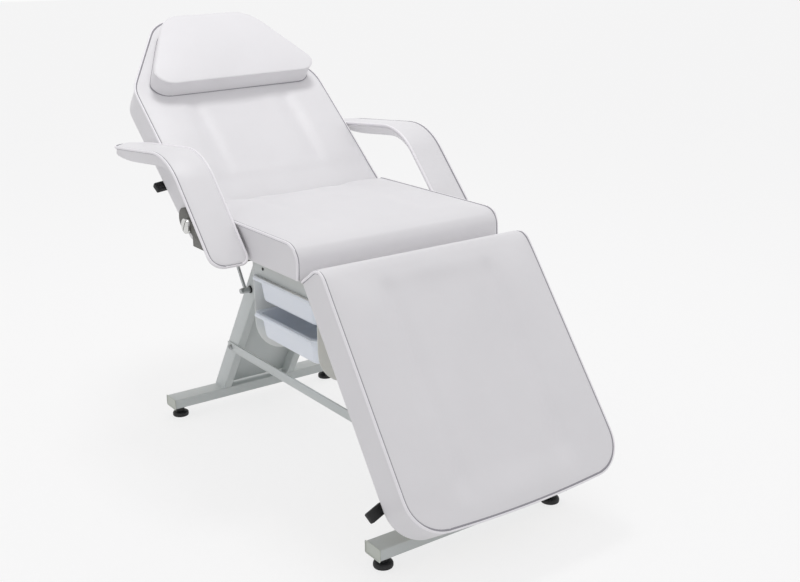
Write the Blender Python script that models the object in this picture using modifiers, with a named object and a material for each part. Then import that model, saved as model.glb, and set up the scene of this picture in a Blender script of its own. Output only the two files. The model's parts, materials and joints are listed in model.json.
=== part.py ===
"""Reclining treatment couch: base, seat, backrest, leg rest, armrests, lock struts and trays.

Metres, +Z up. The sitter faces -Y, so +Y is the head end, -X the sitter's right side and +X the left.
Sizes are written from the middle of the base on the floor; the last section moves the whole couch
so that the middle of its box stands on the origin.
"""
import math

import bmesh
import bpy
import numpy as np
from mathutils import Matrix, Vector

# Clearances
GAP = 0.0003
PIN_CLEARANCE = 0.0004
SOFT_GAP = 0.0025

# How finely shapes are cut, and how near two points or directions count as the same
ROUND = 20
ARC_STEP = math.radians(11.25)
MERGE = 0.00001
SAME = 0.000001
FACING = 0.9
OVERRUN = 0.05
SMOOTH_ANGLE = math.radians(35.0)
BEVEL_ANGLE = math.radians(50.0)
EDGE_BEVEL = 0.001
AXIS_MARK = 0.040

# Base: two floor bars on levelling feet, leaning posts, braces and seat rails
BAR_SPACING = 1.040
BAR_LENGTH = 0.550
BAR_WIDTH = 0.056
BAR_HEIGHT = 0.028
TUBE_WALL = 0.002
BAR_CAP = 0.003
FOOT_INSET = 0.025
FOOT_DIAMETER = 0.046
FOOT_PAD = 0.015
FOOT_SHOULDER = 0.0032
FOOT_RIM_TOP = 0.0090
FOOT_RIM_BASE = 0.0023
FOOT_SOLE_INSET = 0.0014
FOOT_HEIGHT = 0.032
FOOT_NUT = 0.022
STEM_DIAMETER = 0.010
STEM_RISE = 0.020
POST_OUTSIDE = 0.120
POST_WIDTH = 0.025
POST_DEPTH = 0.050
POST_LEAN = math.radians(32.8)
RAIL_HEIGHT = 0.040
CROSS_DEPTH = 0.025
PANEL_THICK = 0.002
PANEL_RECESS = 0.034
PANEL_BASE = 0.065
PANEL_TOP = 0.500
BRACE_HEIGHT = 0.025
BRACE_THICK = 0.005
BRACE_Z = 0.214
BRACE_END = 0.018
BOLT_HEAD = 0.014
BOLT_HEAD_THICK = 0.005

# Cushions
CUSHION_WIDTH = 0.580
SEAT_BASE = 0.600
SEAT_THICK = 0.076
SEAT_CROWN = 0.020
SEAT_FRONT = -0.264
BOARD_INSET = 0.040
BOARD_FRONT_INSET = 0.050
BOARD_REAR_INSET = 0.010
BOARD_KNEE_INSET = 0.020
SEAT_BOARD = 0.0145
BACK_BOARD = 0.010
LEG_BOARD = 0.0114
SIDE_DRAW = 0.003
CHANNEL_OFFSET = 0.142
CHANNEL_DEPTH = 0.006
CHANNEL_WIDTH = 0.030
PANEL_DISH = 0.004
BOLSTER_CROWN = 0.004
CHANNEL_FADE = 0.060
SEAT_EDGE = 0.022
PANEL_EDGE = 0.020
PILLOW_EDGE = 0.016

# Where the cages of the cushions are cut, as shares of a length, a width or a corner
SEAT_ROWS = (0.10, 0.28, 0.50, 0.72, 0.90)
SEAT_COLUMNS = (0.45, 0.78)
PILLOW_COLUMN = 0.55
ARM_BEND_ROWS = (0.0, 0.25, 0.5, 0.75, 1.0)
ROLL_ROWS = (0.98, 0.80)
FINE_CORNER = (0.0, 0.12, 0.45, 1.0)
PLAIN_CORNER = (0.0, 0.4, 1.0)
CROWN_ACROSS = 4
CROWN_ALONG = 0.7

# Backrest, measured along it from its pivot
BACK_PIVOT_Y = 0.268
BACK_PIVOT_Z = 0.628
BACK_THICK = 0.084
BACK_ANGLE = math.radians(40.0)
BACK_LIMIT = math.radians(56.0)
BACK_LENGTH = 0.695
BACK_TAPER_START = 0.446
HEAD_WIDTH = 0.285
HEAD_CORNER = 0.045
HINGE_ARM_LENGTH = 0.030
HINGE_ARM_WIDTH = 0.040
HINGE_ARM_REAR = 0.040
HINGE_ARM_THICK = 0.008
HINGE_BRACKET_THICK = 0.005
HINGE_FOOT = 0.040
HINGE_TOE = 0.014
HINGE_HEAD_START = math.radians(-135.0)
HINGE_HEAD_END = math.radians(135.0)
HINGE_POST = 0.028
HINGE_NECK = 0.022
BACK_BOARD_START = 0.030
PIVOT_CAP_DIAMETER = 0.040
PIVOT_CAP_THICK = 0.009
PIVOT_CAP_SLOT = 0.003
PIVOT_CAP_BEVEL = 0.0015
PIVOT_SLOT_TURN = math.radians(58.0)
PIVOT_DIAMETER = 0.010

# Pillow, on the head end of the backrest
PILLOW_START = 0.413
PILLOW_LENGTH = 0.250
PILLOW_WIDE = 0.520
PILLOW_NARROW = 0.285
PILLOW_THICK = 0.054
PILLOW_WAIST = 0.024
PILLOW_CROWN = 0.006
PILLOW_CORNER = 0.045

# Leg rest, measured along it from its pivot
KNEE_GAP = 0.007
KNEE_TUCK = 0.0045
KNEE_DROP = 0.0025
LEG_ANGLE = math.radians(54.0)
LEG_LENGTH = 0.6231
LEG_THICK = 0.094
LEG_LIFT = 0.0088
FOOT_CORNER = 0.086
LEG_FLARE = 0.007
LUG_SPACING = 0.400
LUG_THICK = 0.006
KNUCKLE_DIAMETER = 0.012
LUG_NOSE_END = math.radians(243.0)
STRAP_WIDTH = 0.022
STRAP_THICK = 0.004
STRAP_LENGTH = 0.120

# Lock struts: a rod that slides in a tube, one for the backrest and one for the leg rest
STRUT_TUBE = 0.022
STRUT_ROD = 0.0095
ROD_CLEARANCE = 0.0006
STRUT_EYE = 0.016
EYE_LENGTH = 0.020
STRUT_PIN = 0.008
ROD_HOLD = 0.018
STRUT_END_GAP = 0.004
BACK_STRUT_X = -0.136
BACK_STRUT_Z = 0.418
LEG_STRUT_Z = 0.440
LEG_STRUT_REACH = 0.024
CLEVIS_PLATE = 0.003
CLEVIS_DROP = 0.013
CLEVIS_CHEEK = 0.003
CLEVIS_LENGTH = 0.050

# Release levers: flat bars with black grips
LEVER_WIDTH = 0.014
LEVER_THICK = 0.006
LEVER_EYE = 0.018
LEVER_PIN = 0.008
LEVER_PIN_OFFSET = 0.040
LEVER_PIN_HEAD = 0.014
GRIP_LENGTH = 0.046
GRIP_WIDTH = 0.025
GRIP_THICK = 0.016
GRIP_POCKET = 0.030
GRIP_BEVEL = 0.003
BACK_GRIP_X = -0.308
BACK_GRIP_Y = 0.180
LEG_GRIP_X = -0.322
LEG_GRIP_Y = -0.5295
LEG_GRIP_TURN = math.radians(18.0)

# Armrests
ARM_WIDTH = 0.100
ARM_THICK = 0.032
ARM_EDGE = 0.009
ARM_CHAMFER = 0.023
ARM_CROWN = 0.006
ARM_SIDE_GAP = 0.006
ARM_CORNER_Y = 0.165
ARM_CORNER_Z = 0.838
ARM_FRONT = 0.324
ARM_REAR = 0.367
ARM_FRONT_SLOPE = math.radians(47.0)
ARM_REAR_SLOPE = math.radians(5.5)
ARM_BEND = 0.170
ARM_REAR_ROUND = 0.047
ARM_FRONT_ROUND = 0.034
ARM_TIP_TAPER = 0.080
ARM_PLATE_WIDTH = 0.060
ARM_PLATE_THICK = 0.004
ARM_PLATE_LENGTH = 0.080
ARM_WEB = 0.003
ARM_BAR_WIDTH = 0.030
ARM_BAR_SETBACK = 0.034

# Tray unit under the seat
CARRIER_LENGTH = 0.310
CARRIER_WIDTH = 0.360
CARRIER_BASE = 0.285
CARRIER_CORNER = 0.090
CARRIER_SHEET = 0.002
RUNNER_WIDTH = 0.012
RUNNER_THICK = 0.004
TRAY_LENGTH = 0.320
TRAY_FRONT = -0.190
TRAY_HEIGHT = 0.066
TRAY_WALL = 0.0025
TRAY_LIP = 0.012
TRAY_DRAFT = 0.008
TRAY_CORNER = 0.022
TRAY_CORNER_CUTS = 3
ROUND_PROFILE = 0.5
TRAY_CLEARANCE = 0.0015
UPPER_TRAY_Z = 0.500
TRAY_PITCH = 0.100
STRIP_CLEARANCE = 0.0025

# Heights and places that follow from the sizes above
BAR_TOP = FOOT_HEIGHT + BAR_HEIGHT
FOOT_X = BAR_LENGTH / 2 - FOOT_INSET
RAIL_TOP = SEAT_BASE - SEAT_BOARD - 2 * GAP
RAIL_BASE = RAIL_TOP - RAIL_HEIGHT
SEAT_TOP = SEAT_BASE + SEAT_THICK
HALF_WIDTH = CUSHION_WIDTH / 2
POST_HALF = POST_DEPTH / (2 * math.cos(POST_LEAN))
KNEE_Y = SEAT_FRONT - KNEE_GAP
KNEE_Z = SEAT_BASE - KNEE_DROP
BACK_HALF = BACK_THICK / 2
BACK_BOARD_BASE = -BACK_HALF - GAP - BACK_BOARD
LEG_BOARD_BASE = LEG_LIFT - GAP - LEG_BOARD
SIDES = {"right": -1, "left": 1}
ENDS = {"front": -1, "rear": 1}

bpy.context.preferences.edit.use_global_undo = False
for old in list(bpy.data.objects):
    bpy.data.objects.remove(old, do_unlink=True)

parts = bpy.data.collections.new("treatment_couch")
cutters = bpy.data.collections.new("cutters")
bpy.context.scene.collection.children.link(parts)
bpy.context.scene.collection.children.link(cutters)


def post_y(height):
    """Distance of a post's axis from the middle of the base at one height."""
    return BAR_SPACING / 2 - (height - BAR_TOP) * math.tan(POST_LEAN)


# Materials
def material(name, color, roughness, metallic=0.0):
    made = bpy.data.materials.new(name)
    made.use_nodes = True
    shader = made.node_tree.nodes["Principled BSDF"]
    shader.inputs["Base Color"].default_value = (*color, 1.0)
    shader.inputs["Roughness"].default_value = roughness
    shader.inputs["Metallic"].default_value = metallic
    made.diffuse_color = (*color, 1.0)
    return made


VINYL = material("white_vinyl", (0.76, 0.75, 0.79), 0.42)
PAINT = material("grey_green_paint", (0.50, 0.54, 0.52), 0.38)
CAP_PLASTIC = material("pale_cap_plastic", (0.60, 0.63, 0.59), 0.45)
TRAY_PLASTIC = material("tray_plastic", (0.74, 0.78, 0.84), 0.35)
WHITE_SHEET = material("white_sheet", (0.72, 0.73, 0.70), 0.40)
RUBBER = material("black_rubber", (0.010, 0.010, 0.011), 0.55)
DARK_STEEL = material("dark_steel", (0.075, 0.075, 0.070), 0.40, 0.6)
CHROME = material("bright_chrome", (0.62, 0.62, 0.62), 0.18, 1.0)
ZINC = material("zinc_steel", (0.45, 0.46, 0.46), 0.35, 0.9)
PLYWOOD = material("plywood", (0.42, 0.29, 0.17), 0.70)


# Modelling helpers
def empty(name, parent=None, location=(0, 0, 0), tilt=0.0):
    made = bpy.data.objects.new(name, None)
    made.empty_display_size = AXIS_MARK
    parts.objects.link(made)
    made.parent = parent
    made.location = location
    made.rotation_euler = (tilt, 0, 0)
    return made


def add(name, mesh, skin, parent, location=(0, 0, 0), rotation=(0, 0, 0), smooth=False):
    """Put a mesh in the scene as a part."""
    made = bpy.data.objects.new(name, mesh)
    parts.objects.link(made)
    made.parent = parent
    made.location = location
    made.rotation_euler = rotation
    mesh.materials.clear()
    mesh.materials.append(skin)
    if smooth:
        mesh.shade_smooth()
        mesh.set_sharp_from_angle(angle=SMOOTH_ANGLE)
    return made


def to_mesh(name, shape):
    mesh = bpy.data.meshes.new(name)
    shape.to_mesh(mesh)
    shape.free()
    return mesh


def box_mesh(name, low, high):
    """A block between two opposite corners."""
    shape = bmesh.new()
    size = [b - a for a, b in zip(low, high)]
    middle = [(a + b) / 2 for a, b in zip(low, high)]
    place = Matrix.Translation(middle) @ Matrix.Diagonal((*size, 1))
    bmesh.ops.create_cube(shape, size=1.0, matrix=place)
    return to_mesh(name, shape)


def rod_mesh(name, radius, start, end, axis="X"):
    """A round bar along X or Z."""
    turn = {"X": Matrix.Rotation(math.pi / 2, 4, "Y"), "Z": Matrix()}
    step = {"X": Vector((1, 0, 0)), "Z": Vector((0, 0, 1))}
    place = Matrix.Translation(step[axis] * (start + end) / 2) @ turn[axis]
    shape = bmesh.new()
    bmesh.ops.create_cone(
        shape, cap_ends=True, segments=ROUND, radius1=radius, radius2=radius, depth=end - start, matrix=place
    )
    return to_mesh(name, shape)


def turned_part(name, profile, skin, parent):
    """A part made by turning a profile of radius and height about its parent's Z axis."""
    mesh = bpy.data.meshes.new(name)
    edges = [(i, i + 1) for i in range(len(profile) - 1)]
    mesh.from_pydata([(r, 0, z) for r, z in profile], edges, [])
    made = add(name, mesh, skin, parent)
    screw = made.modifiers.new("turn", "SCREW")
    screw.steps = ROUND
    screw.render_steps = ROUND
    screw.use_merge_vertices = True
    screw.merge_threshold = MERGE
    screw.use_smooth_shade = True
    return made


def plate_mesh(name, outline, thickness, plane="YZ", holes=()):
    """A flat outline with a thickness, centred on its plane: YZ, XZ or XY."""
    curve = bpy.data.curves.new(name, "CURVE")
    curve.dimensions = "2D"
    curve.fill_mode = "BOTH"
    curve.extrude = thickness / 2
    for loop in (outline, *holes):
        spline = curve.splines.new("POLY")
        spline.points.add(len(loop) - 1)
        for point, (a, b) in zip(spline.points, loop):
            point.co = (a, b, 0, 1)
        spline.use_cyclic_u = True
    guide = bpy.data.objects.new(name, curve)
    bpy.context.scene.collection.objects.link(guide)
    graph = bpy.context.evaluated_depsgraph_get()
    mesh = bpy.data.meshes.new_from_object(guide.evaluated_get(graph))
    bpy.data.objects.remove(guide, do_unlink=True)
    mesh.name = name
    turn = {
        "XY": Matrix(),
        "XZ": Matrix.Rotation(math.pi / 2, 4, "X"),
        "YZ": Matrix.Rotation(math.pi / 2, 4, "Z") @ Matrix.Rotation(math.pi / 2, 4, "X"),
    }
    shape = bmesh.new()
    shape.from_mesh(mesh)
    bmesh.ops.remove_doubles(shape, verts=shape.verts, dist=MERGE)
    bmesh.ops.transform(shape, matrix=turn[plane], verts=shape.verts)
    bmesh.ops.recalc_face_normals(shape, faces=shape.faces)
    shape.to_mesh(mesh)
    shape.free()
    return mesh


def arc(centre, radius, start, end):
    """Points on an arc, angles in radians."""
    steps = max(1, round(abs(end - start) / ARC_STEP))
    angles = [start + (end - start) * i / steps for i in range(steps + 1)]
    return [(centre[0] + radius * math.cos(a), centre[1] + radius * math.sin(a)) for a in angles]


def circle(centre, radius):
    angles = [2 * math.pi * i / ROUND for i in range(ROUND)]
    return [(centre[0] + radius * math.cos(a), centre[1] + radius * math.sin(a)) for a in angles]


def tool(made):
    """Turn a part into a hidden cutter."""
    parts.objects.unlink(made)
    cutters.objects.link(made)
    made.hide_render = True
    made.display_type = "WIRE"
    return made


def combine(target, mesh, operation, location=(0, 0, 0), rotation=(0, 0, 0)):
    """Join a mesh to a part, or cut it away; the mesh is placed in the part's own frame."""
    other = tool(add(mesh.name + "_tool", mesh, target.data.materials[0], target, location, rotation))
    step = target.modifiers.new(mesh.name, "BOOLEAN")
    step.operation = operation
    step.object = other
    return target


def bevel(made, width, segments=1):
    step = made.modifiers.new("soft_edges", "BEVEL")
    step.width = width
    step.segments = segments
    step.limit_method = "ANGLE"
    step.angle_limit = BEVEL_ANGLE
    return made


def prism_mesh(name, x_low, x_high, lower, upper):
    """A block between two level cuts; each cut gives its first and last Y and its height."""
    shape = bmesh.new()
    bmesh.ops.create_cube(shape, size=1.0)
    for vert in shape.verts:
        first, last, height = upper if vert.co.z > 0 else lower
        vert.co = (x_high if vert.co.x > 0 else x_low, last if vert.co.y > 0 else first, height)
    return to_mesh(name, shape)


def cut_at(lower, upper, share, inset):
    """The level cut at a share of the way from one cut to another, drawn in at both ends."""
    first, last, height = [a + (b - a) * share for a, b in zip(lower, upper)]
    return first + inset, last - inset, height


def sheared_tube(name, edges, lower, upper, hollow, parent):
    """A rectangular tube between two level cuts, with the hollow between two others cut out of it."""
    made = add(name, prism_mesh(name, *edges, lower, upper), PAINT, parent)
    inside = prism_mesh(f"{name}_hollow", edges[0] + TUBE_WALL, edges[1] - TUBE_WALL, *hollow)
    return combine(made, inside, "DIFFERENCE")


def soft_block(name, x_cuts, y_cuts, z_cuts, form, skin, parent, location=(0, 0, 0)):
    """A cushion: a block cut into a coarse cage, shaped by a function and smoothed."""
    all_cuts = (x_cuts, y_cuts, z_cuts)
    mesh = box_mesh(name, [cuts[0] for cuts in all_cuts], [cuts[-1] for cuts in all_cuts])
    shape = bmesh.new()
    shape.from_mesh(mesh)
    for axis, cuts in enumerate(all_cuts):
        normal = Vector((0, 0, 0))
        normal[axis] = 1.0
        for cut in cuts[1:-1]:
            geometry = shape.verts[:] + shape.edges[:] + shape.faces[:]
            bmesh.ops.bisect_plane(shape, geom=geometry, dist=SAME, plane_co=normal * cut, plane_no=normal)
    for vert in shape.verts:
        vert.co = form(*[min(cuts, key=lambda cut: abs(cut - v)) for v, cuts in zip(vert.co, all_cuts)])
    shape.normal_update()
    bmesh.ops.recalc_face_normals(shape, faces=shape.faces)
    shape.to_mesh(mesh)
    shape.free()
    mesh.shade_smooth()
    made = add(name, mesh, skin, parent, location)
    smooth = made.modifiers.new("soft_surface", "SUBSURF")
    smooth.levels = 1
    smooth.render_levels = 1
    return made


def mirrored(values):
    """Cuts on both sides of the middle plane from the cuts on one side."""
    return [-v for v in reversed(values)] + [0.0] + list(values)


def round_end(distance, radius):
    """How far an outline draws in at a distance from its end, for a round corner."""
    if distance >= radius:
        return 0.0
    return radius - math.sqrt(max(radius**2 - (radius - distance) ** 2, 0.0))


def share_of(distance, length):
    """A distance as a share of a length, no less than 0 and no more than 1."""
    return min(max(distance / length, 0.0), 1.0)


def channel_columns():
    """Cuts across a channelled cushion: both flanks of each channel and the rounding of each side."""
    flanks = [CHANNEL_OFFSET - CHANNEL_WIDTH, CHANNEL_OFFSET, CHANNEL_OFFSET + CHANNEL_WIDTH]
    return mirrored([*flanks, HALF_WIDTH - PANEL_EDGE, HALF_WIDTH])


def channels(x):
    """Height of a panel's surface across its width: a dished middle, two sewn channels and side bolsters."""
    offset = abs(x) - CHANNEL_OFFSET
    groove = -CHANNEL_DEPTH * math.exp(-((offset / CHANNEL_WIDTH) ** 2))
    if offset < 0:
        return groove - PANEL_DISH * (1 - (x / CHANNEL_OFFSET) ** 2)
    span = HALF_WIDTH - CHANNEL_OFFSET
    return groove + BOLSTER_CROWN * math.sin(math.pi * min(offset / span, 1.0))


# Frames: one for the base and one on the axis of each moving body
base = empty("couch_base")
back = empty("backrest_pivot", base, (0, BACK_PIVOT_Y, BACK_PIVOT_Z), BACK_ANGLE)
leg = empty("leg_rest_pivot", base, (0, KNEE_Y, KNEE_Z), LEG_ANGLE)


# Base frame
def floor_bar(end, sign):
    """A rectangular tube across the couch with a hole under each foot stem."""
    y = sign * BAR_SPACING / 2
    mesh = box_mesh(
        f"floor_bar_{end}",
        (-BAR_LENGTH / 2, -BAR_WIDTH / 2, 0),
        (BAR_LENGTH / 2, BAR_WIDTH / 2, BAR_HEIGHT),
    )
    shape = bmesh.new()
    shape.from_mesh(mesh)
    shape.normal_update()
    ends = [face for face in shape.faces if abs(face.normal.x) > FACING]
    bmesh.ops.delete(shape, geom=ends, context="FACES_ONLY")
    shape.to_mesh(mesh)
    shape.free()
    bar = add(f"floor_bar_{end}", mesh, PAINT, base, (0, y, FOOT_HEIGHT))
    wall = bar.modifiers.new("wall", "SOLIDIFY")
    wall.thickness = TUBE_WALL
    wall.offset = -1
    wall.use_even_offset = True
    hole = STEM_DIAMETER / 2 + PIN_CLEARANCE
    for side in SIDES.values():
        drill = rod_mesh(f"foot_hole_{end}", hole, -TUBE_WALL, 2 * TUBE_WALL, "Z")
        combine(bar, drill, "DIFFERENCE", (side * FOOT_X, 0, 0))


def end_cap(end, sign, side, out):
    """The pale plug that closes a floor bar."""
    x = out * (BAR_LENGTH / 2 + GAP)
    low = (min(x, x + out * BAR_CAP), -BAR_WIDTH / 2, FOOT_HEIGHT)
    high = (max(x, x + out * BAR_CAP), BAR_WIDTH / 2, BAR_TOP)
    name = f"end_cap_{end}_{side}"
    add(name, box_mesh(name, low, high), CAP_PLASTIC, base, (0, sign * BAR_SPACING / 2, 0))


def levelling_foot(end, sign, side, out):
    """A rubber pad with a nut and a stem that screws into the floor bar."""
    place = empty(f"foot_axis_{end}_{side}", base, (out * FOOT_X, sign * BAR_SPACING / 2, 0))
    pad = FOOT_DIAMETER / 2
    nut = FOOT_NUT / 2
    stem = STEM_DIAMETER / 2
    top = FOOT_HEIGHT - GAP
    profile = [
        (0, FOOT_HEIGHT + STEM_RISE),
        (stem, FOOT_HEIGHT + STEM_RISE),
        (stem, top),
        (nut, top),
        (nut, FOOT_PAD),
        (pad - FOOT_SHOULDER, FOOT_PAD),
        (pad, FOOT_RIM_TOP),
        (pad, FOOT_RIM_BASE),
        (pad - FOOT_SOLE_INSET, 0),
        (0, 0),
    ]
    turned_part(f"levelling_foot_{end}_{side}", profile, RUBBER, place)


def post(end, sign, side, out):
    """A leaning post from a floor bar up to a seat rail."""
    foot = BAR_TOP + GAP
    head = RAIL_BASE - GAP
    edges = sorted((out * POST_OUTSIDE, out * (POST_OUTSIDE - POST_WIDTH)))
    lower = (sign * post_y(foot) - POST_HALF, sign * post_y(foot) + POST_HALF, foot)
    upper = (sign * post_y(head) - POST_HALF, sign * post_y(head) + POST_HALF, head)
    wall = TUBE_WALL / math.cos(POST_LEAN)
    hollow = (cut_at(lower, upper, -OVERRUN, wall), cut_at(lower, upper, 1 + OVERRUN, wall))
    sheared_tube(f"post_{end}_{side}", edges, lower, upper, hollow, base)


def seat_rail(side, out):
    """A tube along the couch on top of two posts, its ends cut to the posts' slant."""
    edges = sorted((out * POST_OUTSIDE, out * (POST_OUTSIDE - POST_WIDTH)))
    lower = (-post_y(RAIL_BASE) - POST_HALF, post_y(RAIL_BASE) + POST_HALF, RAIL_BASE)
    upper = (-post_y(RAIL_TOP) - POST_HALF, post_y(RAIL_TOP) + POST_HALF, RAIL_TOP)
    share = TUBE_WALL / RAIL_HEIGHT
    hollow = (cut_at(lower, upper, share, -POST_DEPTH), cut_at(lower, upper, 1 - share, -POST_DEPTH))
    sheared_tube(f"seat_rail_{side}", edges, lower, upper, hollow, base)


def rear_panel():
    """The sheet between the two rear posts, leaning with them."""
    half = POST_OUTSIDE - POST_WIDTH - GAP
    shape = bmesh.new()
    bmesh.ops.create_cube(shape, size=1.0)
    for vert in shape.verts:
        height = PANEL_TOP if vert.co.z > 0 else PANEL_BASE
        y = post_y(height) - POST_HALF + PANEL_RECESS
        y += PANEL_THICK if vert.co.y > 0 else 0.0
        vert.co = (half if vert.co.x > 0 else -half, y, height)
    add("rear_panel", to_mesh("rear_panel", shape), PAINT, base)


def brace(side, out):
    """A flat bar tying a rear post to a front post, with a bolt at each end."""
    reach = post_y(BRACE_Z) + BRACE_END
    inner = out * (POST_OUTSIDE + GAP)
    outer = out * (POST_OUTSIDE + GAP + BRACE_THICK)
    low = (min(inner, outer), -reach, BRACE_Z - BRACE_HEIGHT / 2)
    high = (max(inner, outer), reach, BRACE_Z + BRACE_HEIGHT / 2)
    name = f"side_brace_{side}"
    bevel(add(name, box_mesh(name, low, high), PAINT, base), EDGE_BEVEL)
    for end, sign in ENDS.items():
        bolt = f"brace_bolt_{end}_{side}"
        start = POST_OUTSIDE + BRACE_THICK + 2 * GAP
        edges = sorted((out * start, out * (start + BOLT_HEAD_THICK)))
        mesh = rod_mesh(bolt, BOLT_HEAD / 2, *edges)
        bevel(add(bolt, mesh, ZINC, base, (0, sign * post_y(BRACE_Z), BRACE_Z)), EDGE_BEVEL)


def front_cross_rail():
    """The rail under the front of the seat, with a lug and a pin at each end for the leg rest."""
    front = -post_y(RAIL_BASE) - POST_HALF - GAP
    half = LUG_SPACING / 2
    low = (-half, front - CROSS_DEPTH, RAIL_BASE)
    high = (half, front, RAIL_TOP)
    rail = add("front_cross_rail", box_mesh("front_cross_rail", low, high), PAINT, base)
    round_nose = arc((KNEE_Y, KNEE_Z), KNUCKLE_DIAMETER / 2, math.pi / 2, LUG_NOSE_END)
    back_edge = front - CROSS_DEPTH / 3
    nose_low = min(z for y, z in round_nose)
    outline = round_nose + [(back_edge, min(nose_low, RAIL_TOP - RAIL_HEIGHT / 2)), (back_edge, RAIL_TOP)]
    for side, out in SIDES.items():
        lug = plate_mesh(f"knee_lug_{side}", outline, LUG_THICK, "YZ")
        combine(rail, lug, "UNION", (out * LUG_SPACING / 2, 0, 0))
        start = LUG_SPACING / 2
        edges = sorted((out * start, out * (start + LUG_THICK / 2 + STRAP_WIDTH + 4 * GAP)))
        pin = rod_mesh(f"knee_pin_{side}", STRUT_PIN / 2, *edges)
        combine(rail, pin, "UNION", (0, KNEE_Y, KNEE_Z))


for end_name, end_sign in ENDS.items():
    floor_bar(end_name, end_sign)
    for side_name, side_sign in SIDES.items():
        end_cap(end_name, end_sign, side_name, side_sign)
        levelling_foot(end_name, end_sign, side_name, side_sign)
        post(end_name, end_sign, side_name, side_sign)
for side_name, side_sign in SIDES.items():
    seat_rail(side_name, side_sign)
    brace(side_name, side_sign)
rear_panel()
front_cross_rail()


# Seat
def seat_rear(height):
    """Y of the seat's rear face, which the raised backrest lies along."""
    reach = BACK_HALF + SOFT_GAP
    touch_y = BACK_PIVOT_Y - reach * math.sin(BACK_LIMIT)
    touch_z = BACK_PIVOT_Z + reach * math.cos(BACK_LIMIT)
    return touch_y + (height - touch_z) / math.tan(BACK_LIMIT)


def seat():
    rear = seat_rear(SEAT_BASE)
    length = rear - SEAT_FRONT
    columns = [HALF_WIDTH * share for share in SEAT_COLUMNS]
    x_cuts = mirrored([*columns, HALF_WIDTH - SEAT_EDGE, HALF_WIDTH])
    middle_rows = [SEAT_FRONT + length * share for share in SEAT_ROWS]
    y_cuts = [SEAT_FRONT, SEAT_FRONT + SEAT_EDGE / 2, *middle_rows, rear - SEAT_EDGE / 2, rear]
    z_cuts = [SEAT_BASE, SEAT_BASE + SEAT_THICK / 2, SEAT_TOP]

    def form(x, y, z):
        share = (y - SEAT_FRONT) / length
        y = SEAT_FRONT + share * (seat_rear(z) - SEAT_FRONT)
        if z == z_cuts[1]:
            x -= math.copysign(SIDE_DRAW, x) if abs(x) > HALF_WIDTH - SAME else 0.0
            y += SIDE_DRAW if share < SAME else 0.0
        if z > z_cuts[1]:
            across = 1 - (x / HALF_WIDTH) ** CROWN_ACROSS
            z += SEAT_CROWN * across * math.sin(math.pi * share) ** CROWN_ALONG
        return x, y, z

    soft_block("seat_cushion", x_cuts, y_cuts, z_cuts, form, VINYL, base)
    half = HALF_WIDTH - BOARD_INSET
    low = (-half, SEAT_FRONT + BOARD_FRONT_INSET, SEAT_BASE - GAP - SEAT_BOARD)
    high = (half, rear - BOARD_REAR_INSET, SEAT_BASE - GAP)
    add("seat_board", box_mesh("seat_board", low, high), PLYWOOD, base)


def hinge_bracket(side, out):
    """The plate beside the seat that carries the backrest's pivot, with a foot under the seat board."""
    under = SEAT_BASE - 2 * GAP - SEAT_BOARD
    foot_end = seat_rear(SEAT_BASE) - BOARD_REAR_INSET
    low_z = under - HINGE_BRACKET_THICK
    foot_start = foot_end - HINGE_FOOT
    pivot = (BACK_PIVOT_Y, BACK_PIVOT_Z)
    rear = BACK_PIVOT_Y - HINGE_POST
    outline = arc(pivot, HINGE_ARM_WIDTH / 2, HINGE_HEAD_START, HINGE_HEAD_END)
    outline += [(foot_start, low_z + HINGE_TOE), (foot_start, low_z), (rear, low_z)]
    outline.append((rear, BACK_PIVOT_Z - HINGE_NECK))
    bore = circle(pivot, PIVOT_DIAMETER / 2 + PIN_CLEARANCE)
    x = HALF_WIDTH + HINGE_ARM_THICK + 2 * GAP + HINGE_BRACKET_THICK / 2
    name = f"hinge_bracket_{side}"
    mesh = plate_mesh(name, outline, HINGE_BRACKET_THICK, "YZ", [bore])
    plate = add(name, mesh, DARK_STEEL, base, (out * x, 0, 0))
    inner = POST_OUTSIDE + BOARD_INSET - x
    edges = sorted((0.0, out * inner))
    foot = box_mesh(f"hinge_foot_{side}", (edges[0], foot_start, low_z), (edges[1], foot_end, under))
    combine(plate, foot, "UNION")


def pivot_cap(side, out):
    """The slotted bright cap and shank on which the backrest turns."""
    start = HALF_WIDTH + HINGE_ARM_THICK + HINGE_BRACKET_THICK + 3 * GAP
    edges = sorted((out * start, out * (start + PIVOT_CAP_THICK)))
    name = f"pivot_cap_{side}"
    spot = (0, BACK_PIVOT_Y, BACK_PIVOT_Z)
    cap = add(name, rod_mesh(name, PIVOT_CAP_DIAMETER / 2, *edges), CHROME, base, spot, smooth=True)
    bevel(cap, PIVOT_CAP_BEVEL, 2)
    shank = sorted((out * (HALF_WIDTH + GAP), out * (start + PIVOT_CAP_THICK / 2)))
    combine(cap, rod_mesh(f"pivot_shank_{side}", PIVOT_DIAMETER / 2, *shank), "UNION")
    depth = PIVOT_CAP_SLOT
    face = sorted((out * (start + PIVOT_CAP_THICK - depth), out * (start + PIVOT_CAP_THICK + depth)))
    slot = box_mesh(
        f"pivot_slot_{side}",
        (face[0], -PIVOT_CAP_DIAMETER, -PIVOT_CAP_SLOT / 2),
        (face[1], PIVOT_CAP_DIAMETER, PIVOT_CAP_SLOT / 2),
    )
    combine(cap, slot, "DIFFERENCE", rotation=(PIVOT_SLOT_TURN, 0, 0))


seat()
for side_name, side_sign in SIDES.items():
    hinge_bracket(side_name, side_sign)
    pivot_cap(side_name, side_sign)


# Backrest
def back_half_width(y):
    """Half width of the backrest's outline: parallel, then tapered to a rounded head end."""
    half = HALF_WIDTH
    if y > BACK_TAPER_START:
        share = (y - BACK_TAPER_START) / (BACK_LENGTH - BACK_TAPER_START)
        half -= share * (HALF_WIDTH - HEAD_WIDTH / 2)
    return half - round_end(BACK_LENGTH - y, HEAD_CORNER)


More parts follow.
